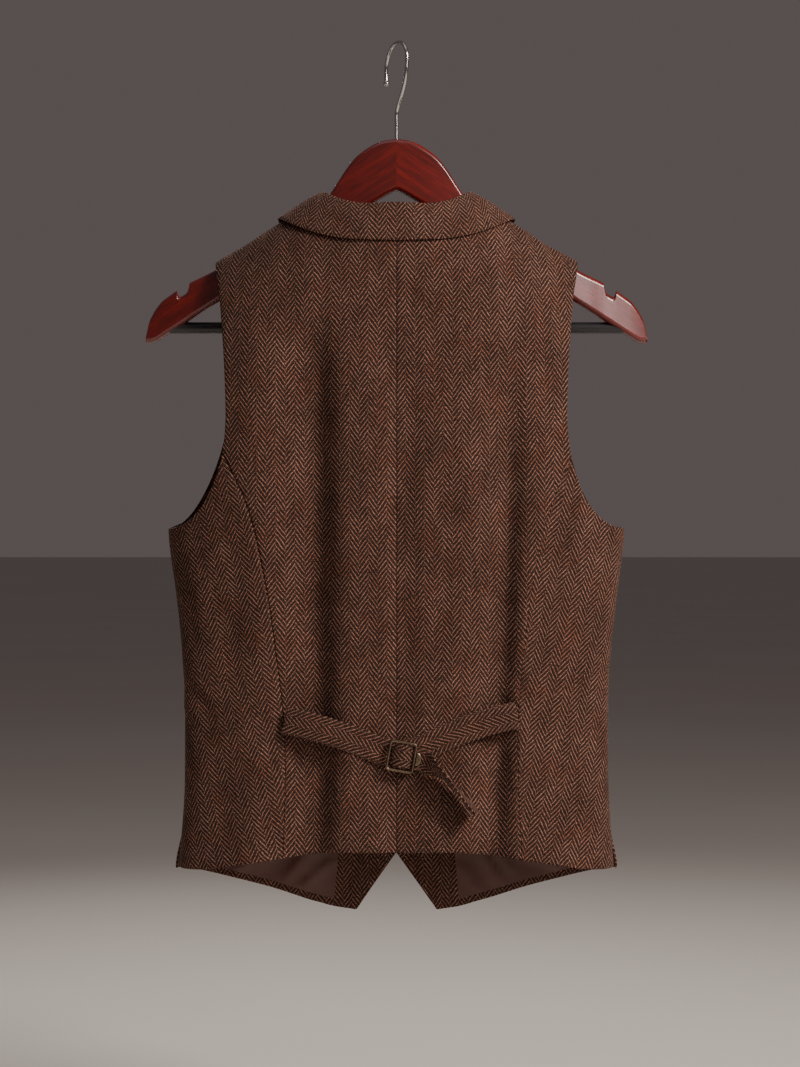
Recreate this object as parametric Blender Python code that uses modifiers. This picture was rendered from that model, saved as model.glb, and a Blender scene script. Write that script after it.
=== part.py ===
"""Suit waistcoat on a wooden suit hanger.

Metres, +Z up, +Y towards the garment's back, +X towards the wearer's left. The origin is the underside of
the hook's top, where the hook rests on a rail. Sizes below are in millimetres.

The cloth is a set of 2 mm walls over one form. The form is a stack of flattened ovals (superellipses), whose
half width and depths come from GIRTH. Near the shoulders the ovals shrink to the shoulder ridge, so that the
back and the front meet over the hanger. A place on the form is (theta, phi): theta runs round the body from
the centre line to the side seam, phi runs over the ridge, positive on the back and negative on the front.
"""
import math

import bmesh
import bpy
import numpy as np
from mathutils import Matrix, Vector

# Cloth
TWEED = 2.0                 # wall of the herringbone tweed
SATIN = 1.0                 # wall of the lining and of the facings
BELT_WALL = 2.4             # belt, two layers pressed flat
SEAM = 0.36                 # clearance between neighbouring pieces
OVAL_POWER = 2.4            # squareness of the horizontal sections

# Form: a row for each height, with the half width and the depth of the back and of the front
CHEST_X = 203.5             # half width from the underarm up
GIRTH = (
    # height, half_width, back_depth, front_depth
    (-120.0, CHEST_X, 50.0, 52.0),
    (-330.0, CHEST_X, 55.0, 60.0),
    (-430.0, CHEST_X, 54.0, 60.0),
    (-485.0, 197.3, 50.0, 56.0),
    (-545.0, 190.8, 45.0, 50.0),
    (-610.0, 188.6, 43.0, 48.0),
    (-680.0, 190.2, 46.0, 52.0),
    (-735.0, 194.0, 50.0, 57.0),
    (-790.0, 196.0, 52.0, 60.0),
)
RIDGE_TOP = -108.5          # the shoulder ridge, carried on to the centre line
RIDGE_SLOPE = 0.6876
RIDGE_ROUND = 40.0
ROLL_DROP = 125.0           # height over which the ridge rounds into the full depth
ARM_SWEEP = 26.0            # forward reach of the hanger's arms at ARM_REACH
ARM_REACH = 222.0
SIDE_Y = -6.0               # the side seams hang a little forward of the hook
SWEEP_FADE = 130.0
RIDGE_REACH = 34.0          # cloth crossed in a unit of phi at the ridge
BODY_REACH = 180.0          # cloth crossed in a unit of theta at the waist

# Outline of the pieces
NECK_X = 68.0
SHOULDER_TIP_X = 160.8
NECK_PHI = 0.935            # centre back of the neck seam
NECK_BACK = -160.0          # its height
UNDERARM = -430.0
BACK_ARMHOLE = (-330.0, 150.0, 2.0)                       # start height, narrowest half width, power
FRONT_ARMHOLE = {1: (-300.0, 150.0, 1.8), -1: (-325.0, 148.0, 2.1)}
PRINCESS = (
    # height, left_x, right_x
    (-340.0, 163.0, 164.0),
    (-366.0, 151.5, 154.0),
    (-405.0, 132.5, 137.0),
    (-465.0, 117.0, 121.5),
    (-540.0, 106.0, 111.5),
    (-600.0, 99.7, 107.0),
    (-735.0, 100.2, 110.0),
)
PRINCESS_TOP = -366.0
PRINCESS_FOOT = -719.5
BACK_HEM = (
    # half_width, height
    (0.0, -713.6),
    (80.0, -716.0),
    (112.0, -721.5),
    (145.0, -727.0),
    (172.0, -730.8),
    (200.0, -731.6),
)
FRONT_HEM = (
    # half_width, height
    (37.0, -781.0),
    (58.0, -775.0),
    (108.0, -758.3),
    (150.0, -745.7),
    (200.0, -731.0),
)
SIDE_HEM = -731.5
HEM_HALF_WIDTH = 193.4      # of the form at the side's hem
LAP = 15.0                  # each front runs this far past the centre line
LAP_LIFT = 4.4              # the left front lies over the right one
LAP_BLEND = (16.0, 40.0)
BREAK_Z = -425.0            # lower end of the lapels' roll line
CUTAWAY_Z = -705.0          # where the front edges start to part
POINT_X = 37.0
POINT_Z = -781.0
SIDE_FALL = -692.0          # the side seam below here is the vent
VENT = (-698.0, 3.4)        # the front's side edge bows out below this height, by this much

# Folds hanging in the cloth: side +1 is the back, -1 the front
FOLDS = (
    # side, x_top, x_low, z_start, z_full, z_low, spread, depth
    (1, 60.0, 54.0, -250.0, -400.0, -760.0, 11.0, 6.5),
    (1, -113.0, -100.0, -310.0, -480.0, -760.0, 10.0, 4.0),
    (-1, 72.0, 84.0, -330.0, -520.0, -800.0, 13.0, 3.5),
    (-1, -66.0, -92.0, -300.0, -560.0, -800.0, 14.0, 3.0),
)

# Collar and lapels
FALL_PHI = 1.123            # centre back of the fall's edge
FALL_X = 104.0              # where the fall's edge crosses the shoulder ridge
FALL_POWER = 1.8
STAND_BACK = 16.0
STAND_FRONT = 4.0
FOLD_RADIUS = 1.25
COLLAR_SEAM = 0.6
RIDGE_EASE = 0.9            # the fall stands off the shoulder ridge by this much more
GORGE_Z = -205.0
COLLAR_END = (93.0, -204.0)
LAPEL_TIP = (108.0, -231.0)
LAPEL_LOW = {1: -421.0, -1: -366.0}   # the right lapel goes under the left front here
LAPEL_BELLY = 7.0
LAPEL_EASE = 0.9
FACING_TOP_X = 118.0
FACING_X = 52.0
HEM_TURN = 7.5              # tweed turned up inside the hem

# Where the rows and columns of the panels' grids lie, as shares of their edges
BACK_ROWS = (9, 12)
FRONT_ROWS = (10, 6, (0.35, 0.68, 0.9, 1.0))
FACING_COLUMNS = (0.0, 0.25, 0.46, 0.62, 0.8, 1.0)
LINING_COLUMNS = (0.0, 0.2, 0.4, 0.58, 0.74, 0.88, 0.975, 1.0)

# Belt, buckle and buttons
BELT_WIDTH = 24.0
FRAME_SIZE = (22.6, 25.0)
FRAME_CENTRE = (-4.4, -629.7)
FRAME_LIFT = 8.0
FRAME_WIRE = 1.1
FRAME_TURN = math.radians(-10.0)
BUTTON_TOP = -440.0
BUTTON_STEP = 62.0
BUTTON_COUNT = 5
BUTTON_RADIUS = 7.5
BUTTON_HEIGHT = 3.4

# Hanger
WOOD_THICK = (13.0, 15.0)    # between the shoulders, and at the tips
WOOD_THICKEN = (168.0, 192.0)
WOOD_TIP = 225.0
WOOD_EDGE = 5.5
WOOD_TOP = (
    # half_width, height
    (0.0, -83.7),
    (13.7, -86.0),
    (27.0, -92.8),
    (37.5, -101.3),
    (44.3, -109.8),
    (52.2, -121.8),
    (60.2, -133.7),
    (80.0, -146.5),
    (160.7, -198.3),
    (200.0, -218.8),
    (213.4, -229.4),
    (219.0, -237.6),
    (223.0, -247.0),
    (225.0, -257.0),
)
WOOD_APEX = -130.5
WOOD_UNDER_SLOPE = 0.62
NOTCH_X = 191.2
NOTCH_HALF = 5.8
NOTCH_DEPTH = 8.0
BAR_Z = -250.3
BAR_Y = -20.8
BAR_RADIUS = 5.3
BAR_END = 205.5
HOOK_WIRE = 1.7
HOOK_TURN = math.radians(25.0)
HOOK_BALL = 2.8

COLOURS = {
    # name: sRGB colour, roughness, metallic
    "tweed": ((0.34, 0.235, 0.20), 0.9, 0.0),
    "satin": ((0.22, 0.125, 0.10), 0.45, 0.0),
    "mahogany": ((0.30, 0.07, 0.05), 0.25, 0.0),
    "steel": ((0.75, 0.75, 0.76), 0.15, 1.0),
    "black": ((0.05, 0.05, 0.055), 0.5, 0.0),
    "brass": ((0.38, 0.29, 0.17), 0.35, 1.0),
    "horn": ((0.12, 0.08, 0.06), 0.35, 0.0),
}


def signed_power(value, power):
    return np.sign(value) * np.abs(value) ** power


def column(table, index):
    return np.array([row[index] for row in table])


def curve_through(table, index, at, key=0):
    """Smooth value of one column at a place in the key column (a cubic through the rows)."""
    x = column(table, key)
    y = column(table, index)
    if x[0] > x[-1]:
        x, y = x[::-1], y[::-1]
    slope = np.gradient(y, x)
    at = np.clip(at, x[0], x[-1])
    i = np.clip(np.searchsorted(x, at) - 1, 0, len(x) - 2)
    width = x[i + 1] - x[i]
    t = (at - x[i]) / width
    return ((2 * t**3 - 3 * t**2 + 1) * y[i] + (t**3 - 2 * t**2 + t) * width * slope[i]
            + (3 * t**2 - 2 * t**3) * y[i + 1] + (t**3 - t**2) * width * slope[i + 1])


def smooth_step(value):
    t = np.clip(value, 0.0, 1.0)
    return t * t * (3.0 - 2.0 * t)


def ridge(x):
    return RIDGE_TOP - RIDGE_SLOPE * (np.sqrt(x * x + RIDGE_ROUND**2) - RIDGE_ROUND)


def drop_of(phi):
    """Height below the ridge: a circle's rise over the ridge, then straight down."""
    away = np.abs(phi)
    return np.where(away < math.pi / 2, ROLL_DROP * (1.0 - np.cos(np.minimum(away, math.pi / 2))),
                    ROLL_DROP * (1.0 + away - math.pi / 2))


def phi_of(drop):
    drop = np.maximum(drop, 0.0)
    return np.where(drop < ROLL_DROP, np.arccos(np.clip(1.0 - drop / ROLL_DROP, -1.0, 1.0)),
                    math.pi / 2 + drop / ROLL_DROP - 1.0)


def theta_of(x, z):
    share = np.clip(np.abs(x) / curve_through(GIRTH, 1, z), 0.0, 1.0)
    return np.sign(x) * np.arcsin(share ** (OVAL_POWER / 2))


def bare_form(theta, phi):
    """A point of the form, with no folds."""
    drop = drop_of(phi)
    x = CHEST_X * signed_power(np.sin(theta), 2 / OVAL_POWER)
    for _ in range(5):
        z = ridge(x) - drop
        x = curve_through(GIRTH, 1, z) * signed_power(np.sin(theta), 2 / OVAL_POWER)
    z = ridge(x) - drop
    across = np.sin(np.clip(phi, -math.pi / 2, math.pi / 2)) * signed_power(np.cos(theta), 2 / OVAL_POWER)
    depth = np.where(across > 0, curve_through(GIRTH, 2, z), curve_through(GIRTH, 3, z))
    near = np.exp(-(drop / SWEEP_FADE) ** 2)
    middle = -ARM_SWEEP * (x / ARM_REACH) ** 2 * near + SIDE_Y * (1.0 - near)
    return np.stack([x, middle + depth * across, z], axis=-1)


def form_normal(theta, phi):
    step = 2e-3
    along = bare_form(theta + step, phi) - bare_form(theta - step, phi)
    down = bare_form(theta, phi + step) - bare_form(theta, phi - step)
    normal = np.cross(along, down)
    return normal / np.linalg.norm(normal, axis=-1, keepdims=True)


def fold_depth(x, z, side):
    """Troughs with low shoulders: each is deepest on its line and fades in from above."""
    total = np.zeros(np.broadcast(x, z).shape)
    for fold_side, x_top, x_low, z_start, z_full, z_low, spread, depth in FOLDS:
        here = np.where(side == fold_side, 1.0, 0.0)
        line = x_top + (x_low - x_top) * (z_start - z) / (z_start - z_low)
        off = ((x - line) / spread) ** 2
        fade = smooth_step((z_start - z) / (z_start - z_full))
        total -= here * fade * depth * (1.0 - 0.5 * off) * np.exp(-0.5 * off)
    return total


def form(theta, phi, lift, folded=True):
    """A point at a height above the form, along its normal, with the folds."""
    point = bare_form(theta, phi)
    side = np.where(phi > 0, 1, -1)
    if folded:
        lift = lift + fold_depth(point[..., 0], point[..., 2], side)
    return point + form_normal(theta, phi) * np.asarray(lift)[..., None]


def place(x, z, side):
    """(theta, phi) of the point at x and z on the back (side 1) or the front (side -1)."""
    return theta_of(x, z), side * phi_of(ridge(x) - z)


def link(name, mesh, material):
    obj = bpy.data.objects.new(name, mesh)
    PARTS.objects.link(obj)
    mesh.materials.clear()
    mesh.materials.append(MATERIALS[material])
    mesh.shade_smooth()
    mesh.set_sharp_from_angle(angle=math.radians(45.0))
    return obj


def mesh_of(name, points, faces):
    mesh = bpy.data.meshes.new(name)
    mesh.from_pydata((np.asarray(points).reshape(-1, 3) * 0.001).tolist(), [], faces)
    bm = bmesh.new()
    bm.from_mesh(mesh)
    bmesh.ops.remove_doubles(bm, verts=bm.verts, dist=1e-6)
    bmesh.ops.recalc_face_normals(bm, faces=bm.faces)
    bm.to_mesh(mesh)
    bm.free()
    return mesh


def grid_faces(rows, columns, start=0):
    """Two triangles to a cell, always split the same way, so that layers over one grid stay apart."""
    index = np.arange(rows * columns).reshape(rows, columns) + start
    a, b, c, d = index[:-1, :-1], index[:-1, 1:], index[1:, 1:], index[1:, :-1]
    return np.concatenate([np.stack([a, b, c], axis=-1).reshape(-1, 3),
                           np.stack([a, c, d], axis=-1).reshape(-1, 3)]).tolist()


def wall(name, outer, inner, material):
    """A closed wall between two grids of points with the same rows and columns."""
    rows, columns = outer.shape[:2]
    index = np.arange(rows * columns).reshape(rows, columns)
    rim = np.concatenate([index[0, :], index[1:, -1], index[-1, -2::-1], index[-2:0:-1, 0]])
    ahead = np.roll(rim, -1)
    size = rows * columns
    faces = grid_faces(rows, columns) + [list(reversed(f)) for f in grid_faces(rows, columns, size)]
    faces += np.stack([rim, ahead, ahead + size, rim + size], axis=-1).tolist()
    return link(name, mesh_of(name, np.concatenate([outer.reshape(-1, 3), inner.reshape(-1, 3)]), faces), material)


def loft(name, sections, material):
    """A closed body through loops of the same number of points, with its ends filled."""
    count, around = sections.shape[:2]
    index = np.arange(count * around).reshape(count, around)
    ahead = np.roll(index, -1, axis=1)
    quads = np.stack([index[:-1], ahead[:-1], ahead[1:], index[1:]], axis=-1).reshape(-1, 4).tolist()
    faces = quads + [index[0][::-1].tolist(), index[-1].tolist()]
    return link(name, mesh_of(name, sections, faces), material)


def patch(left, right, low, high, columns):
    """Coons patch: four edges in (theta, phi), each a (count, 2) array, blended over a grid."""
    v = np.linspace(0.0, 1.0, len(left))[:, None, None]
    u = np.asarray(columns)[None, :, None]
    across = left[:, None] * (1 - u) + right[:, None] * u
    upward = low[None] * (1 - v) + high[None] * v
    corners = ((1 - u) * (1 - v) * left[0] + u * (1 - v) * right[0]
               + (1 - u) * v * left[-1] + u * v * right[-1])
    return across + upward - corners


def shares(rows):
    """Shares of a stretch, from its top (left out) to its foot."""
    return np.arange(1, rows + 1) / rows if isinstance(rows, int) else np.array(rows)


def side_edge(x_of_z, keys, rows, side, crowd=1.0):
    """An edge running down through the key heights, with rows set closer together near the ridge."""
    z = [np.array([keys[0]])]
    for top, foot, count in zip(keys[:-1], keys[1:], rows):
        ends = phi_of(np.array([keys[0] - top, keys[0] - foot]))
        share = shares(count) ** (crowd if top == keys[0] else 1.0)
        z.append(keys[0] - drop_of(ends[0] + (ends[1] - ends[0]) * share))
    z = np.concatenate(z)
    theta, phi = place(x_of_z(z), z, side)
    return np.stack([theta, phi], axis=-1)


def cloth_wall(name, spot, lift, thick, material):
    theta, phi = spot[..., 0], spot[..., 1]
    return wall(name, form(theta, phi, lift), form(theta, phi, lift - thick), material)


def neck_point(s):
    """Neck seam on the back, from the centre (s=0) to the shoulder ridge (s=1)."""
    return NECK_X * np.sin(s * math.pi / 2), NECK_PHI * np.cos(s * math.pi / 2)


def roll_line(z):
    top = ridge(NECK_X)
    return NECK_X - (NECK_X + LAP) * (top - z) / (top - BREAK_Z)


def armhole(z, start, narrow, power):
    """From the shoulder tip in to the narrowest width, then a quarter oval out to the underarm."""
    tip = ridge(SHOULDER_TIP_X)
    above = narrow + (SHOULDER_TIP_X - narrow) * np.clip((z - start) / (tip - start), 0.0, 1.0) ** 1.6
    down = np.clip((start - z) / (start - UNDERARM), 0.0, 1.0)
    flare = CHEST_X - narrow
    return above + flare * (1.0 - (1.0 - down**power) ** (1.0 / power))


def princess(z, hand):
    return curve_through(PRINCESS, 1 if hand > 0 else 2, z)


def side_theta(hand):
    """The side seam, held half a seam's clearance off the widest line."""
    return hand * (math.pi / 2 - (0.5 * SEAM / 50.0) ** (OVAL_POWER / 2))


def ridge_phi(side):
    return side * 0.5 * SEAM / RIDGE_REACH


def princess_edge(hand, offset):
    """The seam's rows, shared by the back and the side back so that their facets match."""
    z = np.linspace(PRINCESS_TOP, PRINCESS_FOOT, BACK_ROWS[1] + 1)
    return np.stack(place(hand * (princess(z, hand) + offset), z, 1), axis=-1)


def make_back(hand, word):
    tip = ridge(SHOULDER_TIP_X)
    start = 0.5 * SEAM
    left = side_edge(lambda z: np.full_like(z, hand * start), (NECK_BACK, PRINCESS_TOP, BACK_HEM[0][1]), BACK_ROWS, 1)
    left[0] = theta_of(hand * start, NECK_BACK), NECK_PHI
    arm = side_edge(lambda z: hand * armhole(z, *BACK_ARMHOLE), (tip, PRINCESS_TOP), BACK_ROWS[:1], 1, crowd=1.15)
    arm[0, 1] = ridge_phi(1)
    right = np.concatenate([arm[:-1], princess_edge(hand, -start)])
    s = np.linspace(0.0, 1.0, 7)
    x, phi = neck_point(s)
    x[0] = start
    neck = np.stack([theta_of(hand * x, ridge(x) - drop_of(phi)), np.maximum(phi, ridge_phi(1))], axis=-1)
    along = np.linspace(NECK_X, SHOULDER_TIP_X, 7)[1:]
    top = np.stack([theta_of(hand * along, ridge(along)), np.full_like(along, ridge_phi(1))], axis=-1)
    high = np.concatenate([neck, top])
    columns = np.linspace(0.0, 1.0, len(high))
    foot = start + (princess(PRINCESS_FOOT, hand) - 2 * start) * columns
    low = np.stack(place(hand * foot, curve_through(BACK_HEM, 1, foot), 1), axis=-1)
    low[-1] = right[-1]
    cloth_wall("back_" + word, patch(left, right, high, low, columns), 0.0, TWEED, "tweed")


def make_side_back(hand, word):
    columns = np.linspace(0.0, 1.0, 7)
    left = princess_edge(hand, 0.5 * SEAM)
    z = np.linspace(UNDERARM, SIDE_HEM, len(left))
    right = np.stack([np.full_like(z, side_theta(hand)), phi_of(ridge(curve_through(GIRTH, 1, z)) - z)], axis=-1)
    z = PRINCESS_TOP - (PRINCESS_TOP - UNDERARM) * np.sin(columns * math.pi / 2) ** 1.15
    high = np.stack(place(hand * armhole(z, *BACK_ARMHOLE), z, 1), axis=-1)
    high[0], high[-1] = left[0], right[0]
    theta = left[-1, 0] + (side_theta(hand) - left[-1, 0]) * columns
    x = HEM_HALF_WIDTH * np.sin(np.abs(theta)) ** (2 / OVAL_POWER)
    low = np.stack([theta, phi_of(ridge(x) - curve_through(BACK_HEM, 1, x))], axis=-1)
    low[0], low[-1] = left[-1], right[-1]
    cloth_wall("side_back_" + word, patch(left, right, high, low, columns), 0.0, TWEED, "tweed")


def front_lift(theta, phi, hand):
    """The left front is raised where it laps over the right one; both bow out at the side vent."""
    point = bare_form(theta, phi)
    lap = 0.0
    if hand > 0:
        lap = LAP_LIFT * smooth_step((LAP_BLEND[1] - point[..., 0]) / (LAP_BLEND[1] - LAP_BLEND[0]))
    vent = VENT[1] * smooth_step((VENT[0] - point[..., 2]) / 32.0)
    return lap + vent * smooth_step((np.abs(theta) - 1.2) / 0.35)


def front_inner(z, hand):
    """Front edge: roll line, straight buttoned edge, then the cutaway to the point."""
    cut = -LAP + (POINT_X + LAP) * np.clip((CUTAWAY_Z - z) / (CUTAWAY_Z - POINT_Z), 0.0, 1.0)
    return hand * np.where(z > BREAK_Z, roll_line(z), cut)


def facing_edge(z):
    """Inboard edge of the facing: straight from the shoulder to the break, then down to the hem."""
    top = ridge(FACING_TOP_X)
    share = np.clip((top - z) / (top - BREAK_Z), 0.0, 1.0)
    return FACING_TOP_X + (FACING_X - FACING_TOP_X) * share + 5.0 * smooth_step((CUTAWAY_Z - z) / 70.0)


def front_grid(hand):
    """(theta, phi) of a front's facets, with a column on the facing's edge: (facing part, lining part)."""
    foot = curve_through(FRONT_HEM, 1, facing_edge(np.array([POINT_Z])))[0]
    inner = side_edge(lambda z: front_inner(z, hand), (ridge(NECK_X), BREAK_Z, CUTAWAY_Z, POINT_Z),
                      FRONT_ROWS, -1, crowd=1.3)
    middle = side_edge(lambda z: hand * facing_edge(z), (ridge(FACING_TOP_X), BREAK_Z, CUTAWAY_Z, foot),
                       FRONT_ROWS, -1, crowd=1.3)
    arm = side_edge(lambda z: hand * armhole(z, *FRONT_ARMHOLE[hand]), (ridge(SHOULDER_TIP_X), UNDERARM),
                    FRONT_ROWS[:1], -1, crowd=1.3)
    arm[-1, 0] = side_theta(hand)
    low_share = np.array([0.35, 0.68, 1.0 - HEM_TURN / (SIDE_FALL - SIDE_HEM), 1.0])
    z = np.concatenate([UNDERARM + (SIDE_FALL - UNDERARM) * shares(FRONT_ROWS[1]),
                        SIDE_FALL + (SIDE_HEM - SIDE_FALL) * low_share])
    side = np.stack([np.full_like(z, side_theta(hand)), -phi_of(ridge(curve_through(GIRTH, 1, z)) - z)], axis=-1)
    outer = np.concatenate([arm, side])
    for edge in (inner, middle, outer):
        edge[0, 1] = ridge_phi(-1)
    grids = []
    for left, right, columns in ((inner, middle, FACING_COLUMNS), (middle, outer, LINING_COLUMNS)):
        u = np.array(columns)[:, None]
        high = left[0] + (right[0] - left[0]) * u
        low = left[-1] + (right[-1] - left[-1]) * u
        if right is outer:
            x = HEM_HALF_WIDTH * np.sin(np.abs(low[1:-1, 0])) ** (2 / OVAL_POWER)
            low[1:-1, 1] = -phi_of(ridge(x) - curve_through(FRONT_HEM, 1, x))
        grids.append(patch(left, right, high, low, columns))
    return grids


def front_wall(name, spot, hand, lift, thick, material):
    theta, phi = spot[..., 0], spot[..., 1]
    raised = front_lift(theta, phi, hand) + lift
    wall(name, form(theta, phi, raised), form(theta, phi, raised - thick), material)


def make_front(hand, word):
    """The front, and the facing and lining inside it, made from the front's own points moved in."""
    facing, lining = front_grid(hand)
    front_wall("front_" + word, np.concatenate([facing, lining[:, 1:]], axis=1), hand, 0.0, TWEED, "tweed")
    inside = -TWEED - SEAM
    part = facing[2:].copy()
    part[:, -1, 0] -= 0.5 * SEAM / BODY_REACH * hand
    front_wall("facing_" + word, part, hand, inside, SATIN, "tweed")
    part = lining[2:-1, :-1].copy()
    part[:, 0, 0] += 0.5 * SEAM / BODY_REACH * hand
    front_wall("lining_" + word, part, hand, inside, SATIN, "satin")


def collar_section(x_seam, phi_seam, x_edge, phi_edge, stand):
    """One section of the collar's middle surface, from the neck seam over the fold to the fall's edge."""
    seam = np.array([x_seam, phi_seam])
    edge = np.array([x_edge, phi_edge])
    ends = [bare_form(theta_of(np.float64(x), ridge(x) - drop_of(phi)), np.float64(phi)) for x, phi in (seam, edge)]
    length = np.linalg.norm(ends[1] - ends[0])
    r = FOLD_RADIUS
    turn = stand - r
    diagonal = r * math.sqrt(0.5)
    fall = np.linspace(-turn, length, 6)[1:]
    along = np.array([-COLLAR_SEAM, -0.5 * (turn + COLLAR_SEAM), -turn, -turn - diagonal, -stand, -turn - diagonal, -turn, *fall])
    middle = 0.5 * TWEED + SEAM + 0.1
    lifts = np.array([-1.0, -1.0, -1.0, middle - 1.1 - diagonal, middle - 1.1, middle - 1.1 + diagonal, middle + 0.1,
                      middle + 0.8, middle + 0.7, middle + 0.3, middle + 0.1, middle])
    spot = seam + (edge - seam) * (along / length)[:, None]
    lifts[5:] += RIDGE_EASE * np.exp(-(spot[5:, 1] / 0.35) ** 2)
    theta = theta_of(spot[:, 0], ridge(spot[:, 0]) - drop_of(spot[:, 1]))
    return form(theta, spot[:, 1], lifts, folded=False)


def make_collar():
    """The collar's surface swept round the neck, then made a wall."""
    stations = np.concatenate([np.linspace(0.0, 1.0, 10) ** 0.85, 1.0 + np.linspace(0.0, 1.0, 6)[1:] ** 1.2])
    sections = []
    for s in stations:
        if s <= 1.0:
            x_seam, phi_seam = neck_point(s)
            bend = 2 / FALL_POWER
            x_edge = FALL_X * math.sin(s * math.pi / 2) ** bend
            phi_edge = FALL_PHI * max(math.cos(s * math.pi / 2), 0.0) ** bend
            stand = STAND_FRONT + (STAND_BACK - STAND_FRONT) * math.cos(s * math.pi / 2) ** 2
        else:
            u = s - 1.0
            z = ridge(NECK_X) + (GORGE_Z - ridge(NECK_X)) * u**1.5
            x_seam, phi_seam = roll_line(z), -float(phi_of(ridge(roll_line(z)) - z))
            end_phi = -float(phi_of(ridge(COLLAR_END[0]) - COLLAR_END[1]))
            x_edge, phi_edge = FALL_X + (COLLAR_END[0] - FALL_X) * u * u, end_phi * u
            stand = STAND_FRONT
        sections.append(collar_section(x_seam, phi_seam, x_edge, phi_edge, stand))
    half = np.array(sections)
    other = half[:0:-1].copy()
    other[..., 0] *= -1.0
    half[0, :, 0] = 0.0
    grid = np.concatenate([other, half])
    rows, columns = grid.shape[:2]
    obj = link("collar", mesh_of("collar", grid, grid_faces(rows, columns)), "tweed")
    solid = obj.modifiers.new("wall", "SOLIDIFY")
    solid.thickness = 0.001 * TWEED
    solid.offset = 0.0
    return obj


def make_lapel(hand, word):
    """The turned-out part of the front: from the roll line to a bellied outer edge, up to the gorge."""
    rows, columns = 11, 5
    foot = LAPEL_LOW[hand]
    z = np.linspace(GORGE_Z - 2.0, foot, rows)
    v = np.linspace(0.0, 1.0, rows)
    x_roll = roll_line(z) + 0.3
    tip_x, tip_z = LAPEL_TIP
    foot_x = roll_line(foot) + 0.3 + (2.0 if hand > 0 else 18.0)
    x_out = tip_x + (foot_x - tip_x) * v + LAPEL_BELLY * np.sin(math.pi * v**0.8)
    z_out = tip_z + (foot - tip_z) * v
    left = np.stack(place(hand * x_roll, z, -1), axis=-1)
    right = np.stack(place(hand * x_out, z_out, -1), axis=-1)
    u = np.linspace(0.0, 1.0, columns)[:, None]
    high = left[0] + (right[0] - left[0]) * u
    low = left[-1] + (right[-1] - left[-1]) * u
    spot = patch(left, right, high, low, u[:, 0])
    front_wall("lapel_" + word, spot, hand, TWEED + LAPEL_EASE, TWEED, "tweed")


def ribbon(name, route, width, thick, material, turns=None):
    """A flat strap along a route of (x, z, lift) over the back; each turn tips its upper edge out of the cloth."""
    route = np.array(route, dtype=float)
    theta, phi = place(route[:, 0], route[:, 1], 1)
    centre = form(theta, phi, route[:, 2], folded=False)
    normal = form_normal(theta, phi)
    ahead = np.gradient(centre, axis=0)
    ahead /= np.linalg.norm(ahead, axis=1, keepdims=True)
    up = np.cross(normal, ahead)
    up /= np.linalg.norm(up, axis=1, keepdims=True)
    if turns is None:
        turns = np.zeros(len(route))
    turns = np.radians(np.asarray(turns, dtype=float))[:, None]
    side = np.cross(ahead, up)
    broad = up * np.cos(turns) + side * np.sin(turns)
    face = np.cross(ahead, broad)
    corners = [broad * (a * width / 2) + face * (b * thick / 2)
               for a, b in ((-1, -1), (-0.33, -1), (0.33, -1), (1, -1), (1, 1), (0.33, 1), (-0.33, 1), (-1, 1))]
    sections = centre[:, None] + np.stack(corners, axis=1)
    return loft(name, sections, material)


def make_belt():
    left = ((98.0, -598.0, 2.3), (86.0, -600.8, 3.0), (72.0, -604.3, 3.3), (58.0, -608.3, 3.3),
            (44.0, -613.0, 3.1), (30.0, -618.3, 2.6), (18.0, -623.5, 2.2), (4.5, -627.8, 2.0))
    ribbon("belt_left", left, BELT_WIDTH, BELT_WALL, "tweed")
    right = ((-105.6, -593.8, 2.6), (-92.0, -596.6, 3.0), (-78.0, -600.2, 2.9), (-64.0, -604.8, 2.6),
             (-50.0, -610.3, 2.4), (-36.0, -616.6, 2.2), (-24.0, -622.4, 2.0), (-6.0, -627.8, 2.0))
    ribbon("belt_right", right, BELT_WIDTH, BELT_WALL, "tweed")
    tail = ((3.0, -627.6, 5.4), (0.2, -628.3, 7.6), (-4.6, -629.4, 9.6), (-9.6, -630.2, 8.2), (-13.2, -631.0, 5.8),
            (-17.0, -631.8, 5.0), (-22.0, -632.8, 5.1), (-28.0, -636.2, 8.2), (-34.5, -641.2, 12.6),
            (-42.0, -647.6, 15.0), (-49.0, -654.8, 15.8), (-56.0, -663.0, 16.0), (-62.5, -670.6, 15.8),
            (-69.0, -678.4, 15.4))
    turns = (0, 0, 0, 0, 0, 0, 5, 28, 60, 79, 90, 98, 103, 106)
    ribbon("belt_tail", tail, BELT_WIDTH - 4.0, BELT_WALL, "tweed", turns=turns)


def buckle_matrix(lift):
    theta, phi = place(np.float64(FRAME_CENTRE[0]), np.float64(FRAME_CENTRE[1]), 1)
    point = form(theta, phi, np.float64(lift), folded=False) * 0.001
    axes = Matrix(((-1.0, 0.0, 0.0, 0.0), (0.0, 0.0, 1.0, 0.0), (0.0, 1.0, 0.0, 0.0), (0.0, 0.0, 0.0, 1.0)))
    return Matrix.Translation(Vector(point)) @ axes @ Matrix.Rotation(FRAME_TURN, 4, "Z")


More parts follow.
